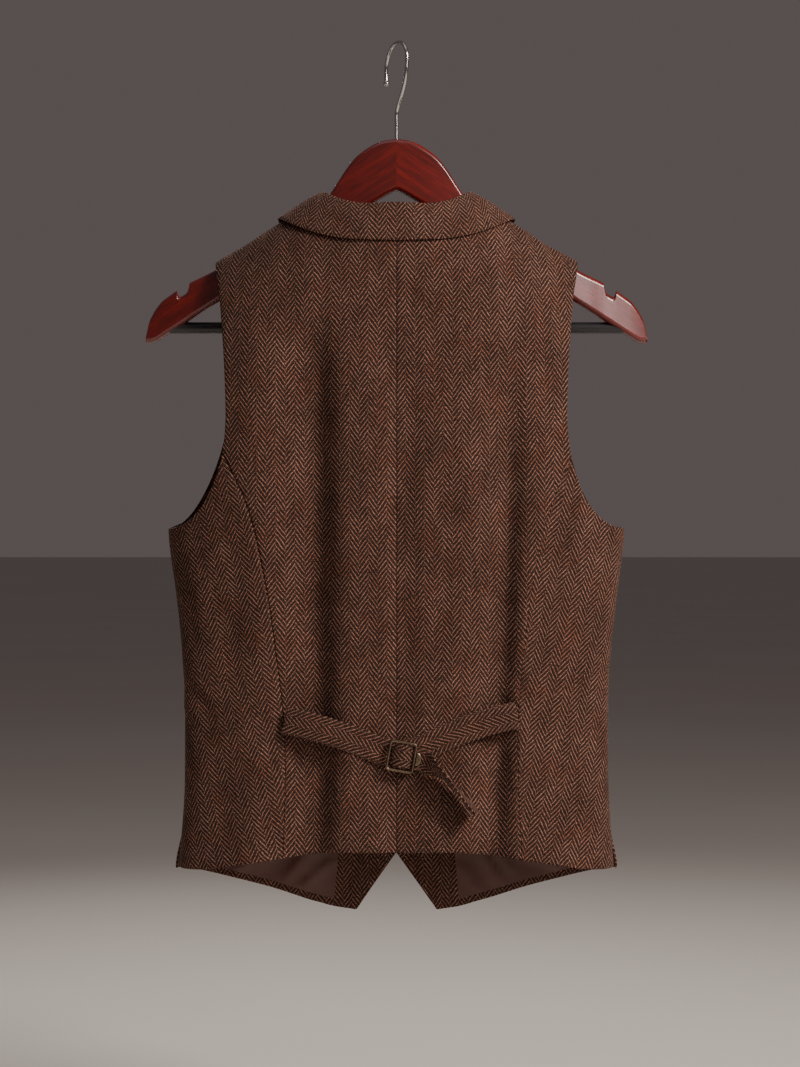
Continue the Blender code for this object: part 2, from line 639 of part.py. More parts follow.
def wire_mesh(name, points, radius, cyclic=False, resolution=2, radii=None):
    """A mesh tube along straight stretches between points, in millimetres."""
    curve = bpy.data.curves.new(name, "CURVE")
    curve.dimensions = "3D"
    curve.bevel_depth = radius * 0.001
    curve.bevel_resolution = resolution
    curve.use_fill_caps = True
    spline = curve.splines.new("POLY")
    spline.points.add(len(points) - 1)
    for index, (target, point) in enumerate(zip(spline.points, points)):
        target.co = (*(np.asarray(point) * 0.001), 1.0)
        target.radius = 1.0 if radii is None else radii[index]
    spline.use_cyclic_u = cyclic
    holder = bpy.data.objects.new(name + "_curve", curve)
    bpy.context.scene.collection.objects.link(holder)
    bpy.context.view_layer.update()
    mesh = bpy.data.meshes.new_from_object(holder.evaluated_get(bpy.context.evaluated_depsgraph_get()))
    bpy.data.objects.remove(holder)
    bm = bmesh.new()
    bm.from_mesh(mesh)
    bmesh.ops.remove_doubles(bm, verts=bm.verts, dist=1e-6)
    bmesh.ops.recalc_face_normals(bm, faces=bm.faces)
    bm.to_mesh(mesh)
    bm.free()
    return mesh


def make_buckle():
    half_w, half_h, corner = FRAME_SIZE[0] / 2, FRAME_SIZE[1] / 2, 2.4
    points = []
    for index in range(4):
        sign_x = (1, -1, -1, 1)[index]
        sign_y = (1, 1, -1, -1)[index]
        for step in range(4):
            angle = math.pi / 2 * (index + step / 3)
            points.append((sign_x * (half_w - corner) + corner * math.cos(angle),
                           sign_y * (half_h - corner) + corner * math.sin(angle), 0.0))
    frame = link("buckle_frame", wire_mesh("buckle_frame", points, FRAME_WIRE, cyclic=True), "brass")
    frame.matrix_world = buckle_matrix(FRAME_LIFT)
    reach = half_h - FRAME_WIRE - 0.35
    bar_points = [(0.8, -reach, -1.5), (0.8, reach, -1.5)]
    bar = link("buckle_bar", wire_mesh("buckle_bar", bar_points, FRAME_WIRE * 0.8), "brass")
    bar.matrix_world = buckle_matrix(FRAME_LIFT)
    arc = [(math.cos(a) * 4.6, math.sin(a) * 6.0) for a in np.linspace(-math.pi / 2, math.pi / 2, 13)]
    lever_x = half_w + FRAME_WIRE + 0.4
    sections = np.array([[(lever_x + x, y, z) for x, y in arc] for z in (-0.8, 0.8)])
    lever = loft("buckle_lever", sections, "brass")
    lever.matrix_world = buckle_matrix(FRAME_LIFT)


def make_buttons():
    """Turned buttons with a raised rim and a dished middle, on the left front."""
    profile = ((0.0, 0.0), (BUTTON_RADIUS - 1.2, 0.0), (BUTTON_RADIUS, 1.0), (BUTTON_RADIUS, 2.4),
               (BUTTON_RADIUS - 0.9, BUTTON_HEIGHT), (BUTTON_RADIUS - 2.0, BUTTON_HEIGHT),
               (BUTTON_RADIUS - 3.0, BUTTON_HEIGHT - 0.9), (0.0, BUTTON_HEIGHT - 0.9))
    around = 20
    angles = np.arange(around) * 2 * math.pi / around
    rings = np.array([[(r * math.cos(a), r * math.sin(a), h) for a in angles] for r, h in profile[1:-1]])
    for index in range(BUTTON_COUNT):
        z = np.float64(BUTTON_TOP - BUTTON_STEP * index)
        theta, phi = place(np.float64(0.0), z, -1)
        seat = form(theta, phi, np.float64(LAP_LIFT + 2 * SEAM), folded=False)
        normal = Vector(form_normal(theta, phi))
        turn = np.array(normal.to_track_quat("Z", "Y").to_matrix())
        loft("button_%d" % (index + 1), rings @ turn.T + seat, "horn")


def sweep_y(x):
    return -ARM_SWEEP * (x / ARM_REACH) ** 2


def make_hanger():
    """Wood: upright sections along the arms, rounded at the edges, curved forward towards the tips."""
    share = np.linspace(0.0, 1.0, 17)
    stations = np.concatenate([
        np.linspace(0.0, 60.2, 9), np.linspace(60.2, NOTCH_X - NOTCH_HALF, 7)[1:],
        NOTCH_X + NOTCH_HALF * np.linspace(-1.0, 1.0, 9)[1:], WOOD_TIP - 28.0 * (1.0 - share[3:] ** 0.6) ** 1.6])
    stations = np.unique(np.round(stations, 3))
    x = np.concatenate([-stations[:0:-1], stations])
    away = np.abs(x)
    high = np.interp(away, column(WOOD_TOP, 0), column(WOOD_TOP, 1))
    hump = away < 60.0
    high[hump] = curve_through(WOOD_TOP[:8], 1, away[hump])
    notch = np.clip(np.abs(away - NOTCH_X) / NOTCH_HALF, 0.0, 1.0)
    high -= NOTCH_DEPTH * (1.0 - notch**4)
    low = WOOD_APEX - WOOD_UNDER_SLOPE * (np.sqrt(away**2 + 9.0) - 3.0)
    low += np.where(away > 214.0, ((away - 214.0) / 11.0) ** 2 * 4.5, 0.0)
    low = np.minimum(low, high - 4.0)
    middle, half = (high + low) / 2, (high - low) / 2
    around = 16
    angle = (np.arange(around) + 0.5) * 2 * math.pi / around
    edge = np.minimum(WOOD_EDGE, half * 0.9)
    thicken = smooth_step((away - WOOD_THICKEN[0]) / (WOOD_THICKEN[1] - WOOD_THICKEN[0]))
    thick = WOOD_THICK[0] + (WOOD_THICK[1] - WOOD_THICK[0]) * thicken
    sections = []
    for index in range(len(x)):
        c, s = np.cos(angle), np.sin(angle)
        y = np.sign(c) * (thick[index] / 2 - edge[index]) + edge[index] * c
        z = np.sign(s) * (half[index] - edge[index]) + edge[index] * s
        sections.append(np.stack([np.full(around, x[index]), sweep_y(x[index]) + y, middle[index] + z], axis=-1))
    wood = loft("hanger_wood", np.array(sections), "mahogany")
    bar = wire_mesh("hanger_bar", [(-BAR_END, BAR_Y, BAR_Z), (BAR_END, BAR_Y, BAR_Z)], BAR_RADIUS, resolution=3)
    link("hanger_bar", bar, "black")
    reach = BAR_END + 0.4
    bore(wood, "bar_socket", [(-reach, BAR_Y, BAR_Z), (reach, BAR_Y, BAR_Z)], BAR_RADIUS + 0.35)
    bore(wood, "hook_socket", [(0.0, 0.0, -70.0), (0.0, 0.0, -96.0)], HOOK_WIRE + 0.35)
    make_hook()


def bore(target, name, points, radius):
    cutter = bpy.data.objects.new(name, wire_mesh(name, points, radius, resolution=3))
    CUTTERS.objects.link(cutter)
    cutter.hide_render = True
    cutter.display_type = "WIRE"
    cut = target.modifiers.new(name, "BOOLEAN")
    cut.operation = "DIFFERENCE"
    cut.object = cutter


def make_hook():
    """Round wire: a straight stem, an easy bend to one side, the crook over the rail and a ball end."""
    guide = ((0.0, -95.6), (0.0, -75.0), (0.0, -62.0), (3.0, -55.0), (10.5, -46.0), (17.5, -35.0), (21.4, -22.0),
             (20.6, -9.5), (14.0, -1.6), (4.5, 1.6), (-6.0, 0.9), (-15.0, -4.2), (-20.6, -12.5), (-22.6, -21.0),
             (-22.0, -28.0))
    path = smooth_path(np.array(guide), 3)
    out = np.array([-math.sin(HOOK_TURN), math.cos(HOOK_TURN)])
    points = [(u * out[0], u * out[1], z) for u, z in path]
    radii = [1.0] * len(points)
    last = np.array(points[-1])
    onward = last - np.array(points[-2])
    onward /= np.linalg.norm(onward)
    for share in (0.15, 0.4, 0.7, 1.0, 1.3, 1.6, 1.85):
        points.append(tuple(last + onward * HOOK_BALL * share))
        radii.append(max(HOOK_BALL / HOOK_WIRE * math.sqrt(max(1.0 - (share - 1.0) ** 2, 0.0)), 0.5))
    link("hanger_hook", wire_mesh("hanger_hook", points, HOOK_WIRE, resolution=2, radii=radii), "steel")


def smooth_path(points, between):
    """Points along a smooth curve through the guide points."""
    steps = np.arange(len(points), dtype=float)
    fine = np.linspace(0.0, len(points) - 1.0, (len(points) - 1) * between + 1)
    tables = [tuple(zip(steps, points[:, axis])) for axis in range(points.shape[1])]
    return np.stack([curve_through(table, 1, fine) for table in tables], axis=-1)


def make_materials():
    made = {}
    for name, (colour, roughness, metallic) in COLOURS.items():
        material = bpy.data.materials.new(name)
        material.use_nodes = True
        shader = material.node_tree.nodes["Principled BSDF"]
        linear = [c / 12.92 if c <= 0.04045 else ((c + 0.055) / 1.055) ** 2.4 for c in colour]
        shader.inputs["Base Color"].default_value = (*linear, 1.0)
        shader.inputs["Roughness"].default_value = roughness
        shader.inputs["Metallic"].default_value = metallic
        material.diffuse_color = (*linear, 1.0)
        made[name] = material
    return made


for old in list(bpy.data.objects):
    bpy.data.objects.remove(old)
PARTS = bpy.data.collections.new("suit_waistcoat")
CUTTERS = bpy.data.collections.new("cutters")
bpy.context.scene.collection.children.link(PARTS)
bpy.context.scene.collection.children.link(CUTTERS)
MATERIALS = make_materials()

for HAND, WORD in ((1, "left"), (-1, "right")):
    make_back(HAND, WORD)
    make_side_back(HAND, WORD)
    make_front(HAND, WORD)
    make_lapel(HAND, WORD)
make_collar()
make_belt()
make_buckle()
make_buttons()
make_hanger()
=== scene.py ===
"""Suit waistcoat on a wooden suit hanger: the finished cloth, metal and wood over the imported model.

The frame is in metres, +Z up, +Y towards the garment's back, +X towards the wearer's left, with the origin at
the underside of the hook's top. Tables and functions below work in millimetres, and put() turns them to
metres.
"""

import math
from functools import partial

import bmesh
import bpy
import numpy as np
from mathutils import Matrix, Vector


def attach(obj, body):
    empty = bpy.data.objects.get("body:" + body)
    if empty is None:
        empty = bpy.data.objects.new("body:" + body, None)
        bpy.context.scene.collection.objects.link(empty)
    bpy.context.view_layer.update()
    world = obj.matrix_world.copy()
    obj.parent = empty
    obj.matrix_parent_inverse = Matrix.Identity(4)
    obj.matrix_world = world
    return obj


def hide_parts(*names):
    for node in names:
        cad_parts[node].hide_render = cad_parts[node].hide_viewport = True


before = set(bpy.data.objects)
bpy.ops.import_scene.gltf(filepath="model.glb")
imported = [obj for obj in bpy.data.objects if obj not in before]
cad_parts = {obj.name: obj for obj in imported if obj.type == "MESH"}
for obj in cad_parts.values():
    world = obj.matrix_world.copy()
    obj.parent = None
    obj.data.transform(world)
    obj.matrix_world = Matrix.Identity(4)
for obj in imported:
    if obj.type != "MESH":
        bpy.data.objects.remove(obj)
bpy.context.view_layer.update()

bl_info = {
    "name": "Suit waistcoat on a hanger",
    "version": (1, 0, 0),
    "blender": (4, 5, 0),
    "location": "3D View > Sidebar > Waistcoat",
    "description": "Builds a herringbone tweed waistcoat, its buckled belt and its wooden hanger",
    "category": "Object",
}

MM = 0.001
HANDS = ((1, "left"), (-1, "right"))

# Cloth
SEAM = 0.04                 # neighbouring panels all but touch, so no light passes a seam
LAYER_GAP = 0.36            # clearance between one layer of cloth and the next
OVAL_POWER = 2.4            # squareness of the horizontal sections

# Form: a row for each height, with the half width and the depth of the back and of the front
CHEST_X = 203.5
GIRTH = (
    # height, half_width, back_depth, front_depth
    (-120, CHEST_X, 50, 52),
    (-330, CHEST_X, 55, 60),
    (-430, CHEST_X, 54, 60),
    (-485, 197.3, 50, 56),
    (-545, 190.8, 45, 50),
    (-610, 188.6, 43, 48),
    (-680, 190.2, 46, 52),
    (-735, 194, 50, 57),
    (-790, 196, 52, 60),
)
RIDGE_TOP = -108.5
RIDGE_SLOPE = 0.6876
RIDGE_ROUND = 40
ROLL_DROP = 125
ARM_SWEEP = 26
ARM_REACH = 222
SIDE_Y = -6
SWEEP_FADE = 130
RIDGE_REACH = 34
BODY_REACH = 180

# Outline of the pieces
NECK_X = 68
SHOULDER_TIP_X = 160.8
NECK_PHI = 0.935
NECK_BACK = -160
UNDERARM = -430
BACK_ARMHOLE = (-330, 150, 2)
FRONT_ARMHOLE = {1: (-300, 150, 1.62), -1: (-325, 148, 2.1)}
PRINCESS = (
    # height, left_x, right_x
    (-340, 163, 164),
    (-366, 151.5, 154),
    (-405, 132.5, 137),
    (-465, 117, 121.5),
    (-540, 106, 111.5),
    (-600, 99.7, 107),
    (-735, 100.2, 110),
)
PRINCESS_TOP = -366
PRINCESS_FOOT = -719.5
BACK_HEM = (
    # half_width, height
    (0, -713.6),
    (80, -716),
    (112, -721.5),
    (145, -727),
    (172, -730.8),
    (200, -731.6),
)
FRONT_HEM = (
    # half_width, height
    (36.8, -778.4),
    (38.8, -780.5),
    (42, -780.3),
    (58, -775),
    (108, -758.3),
    (150, -745.7),
    (200, -731),
)
SIDE_HEM = -731.5
HEM_HALF_WIDTH = 193.4
LAP = 15
LAP_LIFT = 4.4
LAP_BLEND = (40, 16)
BREAK_Z = -425
CUTAWAY_Z = -705
POINT_X = 36.8
POINT_Z = -778.4
SIDE_FALL = -692
VENT = (-698, 3.4)
HEM_TURN = 7.5
FACING_TOP_X = 118
FACING_X = 52

# Folds hanging in the cloth: side +1 is the back, -1 the front. A fold's two walls have spreads of their own
FOLDS = (
    # side, x_top, x_low, z_start, z_full, z_low, spread_right, spread_left, depth
    (1, 72, 72, -205, -335, -760, 16, 27, 13.5),
    (1, -105, -84, -235, -420, -760, 10.5, 20, 9),
    (1, -4, -1, -235, -380, -700, 15, 9, 2.6),
    (-1, 72, 84, -330, -520, -800, 13, 19, 4.6),
    (-1, -66, -92, -300, -560, -800, 20, 13, 4),
)
# Short creases: each lies between two places and fades past both; a negative depth is a ridge
CREASES = (
    # side, x_a, z_a, x_b, z_b, spread, depth
    (1, -12, -225, -11, -520, 8, 0.9),
    (1, -103, -165, -98, -262, 9, 1.3),
    (1, -60, -200, -66, -420, 15, -0.9),
    (1, 98, -190, 88, -330, 12, 0.9),
    (1, 26, -260, 22, -470, 13, -1.1),
    (1, 186, -568, 164, -590, 4.5, 1.6),
    (1, 189, -586, 170, -603, 4, -0.9),
    (1, -172, -392, -182, -436, 10, 1.6),
    (1, -186, -556, -152, -574, 6, 1.1),
    (1, -184, -604, -160, -612, 5, 0.8),
    (1, 100, -612, 122, -652, 6, 1.2),
    (1, 76, -618, 70, -668, 7, -1),
    (1, -108, -560, -118, -606, 6, 1.2),
    (1, -92, -618, -84, -676, 8, 1.3),
    (1, -30, -640, -38, -706, 12, -1.3),
    (1, 12, -640, 20, -706, 12, 1),
    (1, 140, -440, 150, -560, 12, 1.1),
    (1, -146, -430, -150, -520, 11, 1),
    (1, 158, -620, 150, -715, 11, 1.3),
    (1, -156, -640, -148, -718, 12, 1.1),
    (1, 176, -470, 168, -530, 8, -0.9),
    (-1, 128, -250, 96, -400, 12, 1.6),
    (-1, -124, -260, -100, -372, 11, 1.3),
    (-1, 160, -452, 112, -486, 9, 1.5),
    (-1, -166, -448, -122, -474, 8, 1.3),
    (-1, 22, -500, 58, -512, 6, 1.1),
    (-1, -20, -566, -64, -556, 6, 1.2),
    (-1, 24, -628, 66, -644, 7, 1),
    (-1, -22, -630, -58, -640, 6, -0.9),
    (-1, 150, -560, 182, -580, 6, 1.4),
    (-1, -150, -570, -184, -596, 6, 1.3),
    (-1, 128, -640, 138, -735, 12, 1.6),
    (-1, -134, -650, -140, -738, 13, 1.4),
    (-1, 52, -690, 46, -760, 10, -1.1),
)
# Slack of the satin over the tweed, inside the fronts: as CREASES
SATIN_CREASES = (
    (1, 64, -700, 100, -748, 4.5, 2.4),
    (1, 96, -712, 124, -738, 3.6, 2),
    (1, 82, -690, 140, -704, 5, 2.2),
    (1, 60, -735, 88, -757, 3.6, 1.8),
    (1, 112, -726, 150, -741, 4, 1.6),
    (-1, -66, -706, -96, -752, 4.5, 2.4),
    (-1, -88, -716, -104, -742, 3.4, 2.1),
    (-1, -100, -696, -150, -712, 5, 2.3),
    (-1, -120, -728, -150, -738, 3.6, 1.7),
    (-1, -60, -738, -76, -762, 3.4, 1.6),
)
TIP_FLARE = (3.4, 22)     # the shoulder's corner stands up by this much, over this reach

# Collar and lapels
FALL_PHI = 1.123
FALL_X = 104
FALL_POWER = 1.8
STAND_BACK = 16
STAND_FRONT = 4
FOLD_RADIUS = 1.25
COLLAR_SEAM = 0.6
RIDGE_EASE = 0.9
FALL_EASE = 1.1             # the fall's edge stands off the back
GORGE_Z = -205
COLLAR_END = (93, -204)
LAPEL_TIP = (108, -231)
LAPEL_LOW = {1: -421, -1: -366}
LAPEL_BELLY = 7
LAPEL_EASE = 0.9

# Belt, buckle and buttons
FRAME_SIZE = (22.6, 25)
FRAME_CENTRE = (-4.4, -629.7)
FRAME_LIFT = 8
FRAME_WIRE = 1.3
FRAME_TURN = math.radians(-10)
FRAME_CORNER = 2.4
LEVER_SIZE = (4.6, 6, 0.8)    # reach, half width, half thickness
BUTTON_HOLE = (1.35, 0.72, 1.5)    # distance from the middle, radius, depth
STITCH_EDGE = 0.84              # a strap's stitches, as a share of its half width
BELT_LEFT = (
    # x, height, lift, turn
    (98, -598, 2.3, 0), (86, -600.8, 3, 0), (72, -604.3, 3.3, 0), (58, -608.3, 3.3, 0),
    (44, -613, 3.1, 0), (30, -618.3, 2.6, 0), (18, -623.5, 2.2, 0), (4.5, -627.8, 2, 0),
)
BELT_RIGHT = (
    (-105.6, -593.8, 2.6, 0), (-92, -596.6, 3, 0), (-78, -600.2, 2.9, 0), (-64, -604.8, 2.6, 0),
    (-50, -610.3, 2.4, 0), (-36, -616.6, 2.2, 0), (-24, -622.4, 2, 0), (-6, -627.8, 2, 0),
)
BELT_TAIL = (
    (3, -627.6, 5.4, 0), (0.2, -628.3, 7.6, 0), (-4.6, -629.4, 9.6, 0), (-9.6, -630.2, 8.2, 0),
    (-13.2, -631, 5.8, 0), (-17, -631.8, 5, 0), (-22, -632.8, 5.1, 5), (-28, -636.2, 8.2, 28),
    (-34.5, -641.2, 12.6, 60), (-42, -647.6, 15, 79), (-49, -654.8, 15.8, 90),
    (-56, -663, 16, 98), (-62.5, -670.6, 15.8, 103), (-69, -678.4, 15.4, 106),
)
BUTTON_TOP = -440
BUTTON_STEP = 62
BUTTON_COUNT = 5
BUTTON_PROFILE = (
    # radius, height
    (0, 0), (3, 0), (6.3, 0), (7, 0.25), (7.4, 0.8), (7.5, 1.5), (7.5, 2.2), (7.3, 2.9), (6.9, 3.3),
    (6.3, 3.4), (5.6, 3.3), (5, 2.95), (4.4, 2.6), (3.8, 2.5), (3.2, 2.5), (0, 2.5),
)

# Hanger
WOOD_THICK = (13, 15)
WOOD_THICKEN = (168, 192)
WOOD_TIP = 225
WOOD_EDGE = 5.5
WOOD_TOP = (
    # half_width, height
    (0, -83.7),
    (13.7, -86),
    (27, -92.8),
    (37.5, -101.3),
    (44.3, -109.8),
    (52.2, -121.8),
    (60.2, -133.7),
    (80, -146.5),
    (160.7, -198.3),
    (200, -218.8),
    (213.4, -229.4),
    (219, -237.6),
    (223, -247),
    (225, -257),
)
WOOD_APEX = -130.5
WOOD_UNDER_SLOPE = 0.62
NOTCH_X = 191.2
NOTCH_HALF = 5.8
NOTCH_DEPTH = 8
BAR_Z = -250.3
BAR_Y = -20.8
BAR_RADIUS = 5.3
BAR_END = 205.5
HOOK_WIRE = 1.7
HOOK_TURN = math.radians(25)
HOOK_BALL = 2.8
HOOK_GUIDE = (
    # sideways, height
    (0, -95.6), (0, -75), (0, -62), (3, -55), (10.5, -46), (17.5, -35), (21.4, -22),
    (20.6, -9.5), (14, -1.6), (4.5, 1.6), (-6, 0.9), (-15, -4.2), (-20.6, -12.5), (-22.6, -21),
    (-22, -28),
)

# Stage, in metres
FLOOR_REACH = 60.0
FLOOR_HEIGHT = -1.02
CAMERA_PLACE = (-0.0031, 2.242, -0.4348)
CAMERA_LENS = (85.0, 36.0)      # focal length and sensor width
ROOM_LIGHT = ("#928685", 0.36)
LIGHTS = (
    # name, place, aim, width, height, watts, spread, colour
    ("key", (-1.68, 1.50, 1.05), (0.0, 0.0, -0.42), 0.7, 0.9, 74.0, 180.0, "#fff4ea"),
    ("card", (-1.12, 2.05, 0.02), (-0.18, 0.0, -0.24), 0.5, 0.7, 6.5, 180.0, "#fff0ec"),
    ("top", (0.2, 0.4, 2.0), (0.0, 0.0, -0.4), 1.8, 1.8, 5.0, 180.0, "#f4f4ff"),
    ("front_fill", (0.8, -2.6, 1.4), (0.0, 0.0, -0.2), 1.6, 1.6, 23.0, 80.0, "#fff8f0"),
)


def linear(colour):
    """Linear red, green and blue of an sRGB hex colour."""
    parts = [int(colour[i:i + 2], 16) / 255 for i in (1, 3, 5)]
    return tuple(c / 12.92 if c <= 0.04045 else ((c + 0.055) / 1.055) ** 2.4 for c in parts)


# ---- arithmetic of the form ----

def signed_power(value, power):
    return np.sign(value) * np.abs(value) ** power


def smooth_step(value, start=0.0, full=1.0):
    """Rises from 0 at start to 1 at full, by 3 t^2 - 2 t^3."""
    t = np.clip((value - start) / (full - start), 0.0, 1.0)
    return t * t * (3.0 - 2.0 * t)


def curve_through(table, index, at, key=0):
    """Smooth value of one column at a place in the key column: a cubic through the rows, with their mean
    slopes."""
    x = np.array([row[key] for row in table], dtype=float)
    y = np.array([row[index] for row in table], dtype=float)
    if x[0] > x[-1]:
        x, y = x[::-1], y[::-1]
    slope = np.gradient(y, x)
    at = np.clip(at, x[0], x[-1])
    i = np.clip(np.searchsorted(x, at) - 1, 0, len(x) - 2)
    width = x[i + 1] - x[i]
    t = (at - x[i]) / width
    return ((2 * t**3 - 3 * t**2 + 1) * y[i] + (t**3 - 2 * t**2 + t) * width * slope[i]
            + (3 * t**2 - 2 * t**3) * y[i + 1] + (t**3 - t**2) * width * slope[i + 1])


def smooth_path(points, between):
    """Points along a smooth curve through the guide points, so many to each stretch."""
    points = np.asarray(points, dtype=float)
    steps = np.arange(len(points), dtype=float)
    fine = np.linspace(0.0, len(points) - 1.0, (len(points) - 1) * between + 1)
    return np.stack([curve_through(tuple(zip(steps, points[:, axis])), 1, fine)
                     for axis in range(points.shape[1])], axis=-1)


def crowded(count):
    """Shares from 0 to 1 with a few close together at each end, where an edge is rounded."""
    close = np.array([0.0, 0.0015, 0.004, 0.008, 0.014])
    return np.concatenate([close, np.linspace(0.024, 0.976, count), 1.0 - close[::-1]])


def ridge(x):
    """Height of the shoulder ridge: a straight slope, rounded over the centre."""
    return RIDGE_TOP - RIDGE_SLOPE * (np.sqrt(x * x + RIDGE_ROUND**2) - RIDGE_ROUND)


def drop_of(phi):
    """Height below the ridge: a circle's rise over the ridge, then straight down."""
    away = np.abs(phi)
    return np.where(away < math.pi / 2, ROLL_DROP * (1.0 - np.cos(np.minimum(away, math.pi / 2))),
                    ROLL_DROP * (1.0 + away - math.pi / 2))


def phi_of(drop):
    drop = np.maximum(drop, 0.0)
    return np.where(drop < ROLL_DROP, np.arccos(np.clip(1.0 - drop / ROLL_DROP, -1.0, 1.0)),
                    math.pi / 2 + drop / ROLL_DROP - 1.0)


def theta_of(x, z):
    share = np.clip(np.abs(x) / curve_through(GIRTH, 1, z), 0.0, 1.0)
    return np.sign(x) * np.arcsin(share ** (OVAL_POWER / 2))


def depth_at(x, z, theta, phi, drop):
    """y on the form: an oval's depth, shrunk towards the ridge, on a middle swept forward along the arms."""
    across = np.sin(np.clip(phi, -math.pi / 2, math.pi / 2)) * signed_power(np.cos(theta), 2 / OVAL_POWER)
    depth = np.where(across > 0, curve_through(GIRTH, 2, z), curve_through(GIRTH, 3, z))
    near = np.exp(-(drop / SWEEP_FADE) ** 2)
    return -ARM_SWEEP * (x / ARM_REACH) ** 2 * near + SIDE_Y * (1.0 - near) + depth * across


def bare_form(theta, phi):
    """A point of the form, with no folds: theta goes round the body, phi over the shoulder ridge."""
    drop = drop_of(phi)
    x = CHEST_X * signed_power(np.sin(theta), 2 / OVAL_POWER)
    for _ in range(5):
        z = ridge(x) - drop
        x = curve_through(GIRTH, 1, z) * signed_power(np.sin(theta), 2 / OVAL_POWER)
    z = ridge(x) - drop
    return np.stack([x, depth_at(x, z, theta, phi, drop), z], axis=-1)


def unit(vectors):
    return vectors / np.linalg.norm(vectors, axis=-1, keepdims=True)


def form_normal(theta, phi):
    step = 2e-3
    along = bare_form(theta + step, phi) - bare_form(theta - step, phi)
    down = bare_form(theta, phi + step) - bare_form(theta, phi - step)
    return unit(np.cross(along, down))


def on_form(theta, phi):
    """The form's point and its outward direction there."""
    return bare_form(theta, phi), form_normal(theta, phi)


def trough(q):
    """A soft trough across its line, with low shoulders at its sides: (1 - q/2) exp(-q/2)."""
    return (1.0 - 0.5 * q) * np.exp(-0.5 * q)


def fold_depth(x, z, side):
    """Long folds that hang from the shoulder blades and the chest: each fades in from above."""
    total = np.zeros(np.broadcast(x, z).shape)
    for fold_side, x_top, x_low, z_start, z_full, z_low, spread_right, spread_left, depth in FOLDS:
        line = x_top + (x_low - x_top) * (z_start - z) / (z_start - z_low)
        fade = smooth_step(z, z_start, z_full)
        spread = np.where(x < line, spread_right, spread_left)
        total -= np.where(side == fold_side, fade, 0.0) * depth * trough(((x - line) / spread) ** 2)
    return total


def crease_depth(x, z, side, table):
    """Short creases: a trough across the line between two places, faded past both."""
    total = np.zeros(np.broadcast(x, z).shape)
    for crease_side, x_a, z_a, x_b, z_b, spread, depth in table:
        run = math.hypot(x_b - x_a, z_b - z_a)
        share = ((x - x_a) * (x_b - x_a) + (z - z_a) * (z_b - z_a)) / run**2
        off = ((x - x_a) * (z_b - z_a) - (z - z_a) * (x_b - x_a)) / run
        fade = smooth_step((0.8 - np.abs(share - 0.5)) / 0.5)
        total -= np.where(side == crease_side, fade, 0.0) * depth * trough((off / spread) ** 2)
    return total


def slack(x, z):
    """Slight unevenness of pressed cloth: three crossing waves of unlike length."""
    return (0.30 * np.sin(x / 17.0 + 1.3) * np.sin(z / 43.0 + 0.4) + 0.22 * np.sin(x / 9.0 + z / 29.0)
            + 0.16 * np.sin(z / 13.0 - x / 21.0 + 2.1))


def cloth_lift(point, side):
    """Folds, creases, slack and the standing corner of the shoulder, as heights above the form."""
    x, z = point[..., 0], point[..., 2]
    tip = np.hypot(np.abs(x) - SHOULDER_TIP_X, z - ridge(SHOULDER_TIP_X))
    return (fold_depth(x, z, side) + crease_depth(x, z, side, CREASES) + slack(x, z)
            + TIP_FLARE[0] * np.exp(-(tip / TIP_FLARE[1]) ** 2))


def place(x, z, side):
    """(theta, phi) of the point at x and z on the back (side 1) or the front (side -1)."""
    return theta_of(x, z), side * phi_of(ridge(x) - z)


def grain(theta, phi, turn=0.0):
    """Place on the flat cloth: round the level section from the centre line, and down the cloth.

    Across is the summed length of the level section from the centre to theta. Along is the drop, plus what
    the
    roll over the shoulder adds to it. Both are then turned by an angle, where a panel is cut off the
    straight.
    """
    point = bare_form(theta, phi)
    z = point[..., 2:3]
    part = theta[..., None] * np.linspace(0.0, 1.0, 21)
    x = curve_through(GIRTH, 1, z) * signed_power(np.sin(part), 2 / OVAL_POWER)
    drop = np.maximum(ridge(x) - z, 0.0)
    side = np.sign(phi)[..., None]
    y = depth_at(x, z + 0.0 * x, part, side * phi_of(drop), drop)
    across = np.sign(theta) * np.hypot(np.diff(x, axis=-1), np.diff(y, axis=-1)).sum(axis=-1)
    roll = np.minimum(np.abs(phi), math.pi / 2)[..., None]
    steps = (np.arange(16) + 0.5) / 16
    deep = np.where(phi > 0, curve_through(GIRTH, 2, z[..., 0]), curve_through(GIRTH, 3, z[..., 0]))
    deep = deep[..., None] * signed_power(np.cos(theta), 2 / OVAL_POWER)[..., None]

    def arc(angle):
        return (np.hypot(ROLL_DROP * np.sin(angle * steps),
                         deep * np.cos(angle * steps)) * angle).mean(axis=-1)

    full = np.full_like(roll, math.pi / 2)
    extra = arc(roll) - ROLL_DROP * (1.0 - np.cos(roll[..., 0])) - arc(full) + ROLL_DROP
    along = -z[..., 0] + extra
    c, s = math.cos(turn), math.sin(turn)
    return np.stack([across * c + along * s, -across * s + along * c], axis=-1)


# ---- meshes ----

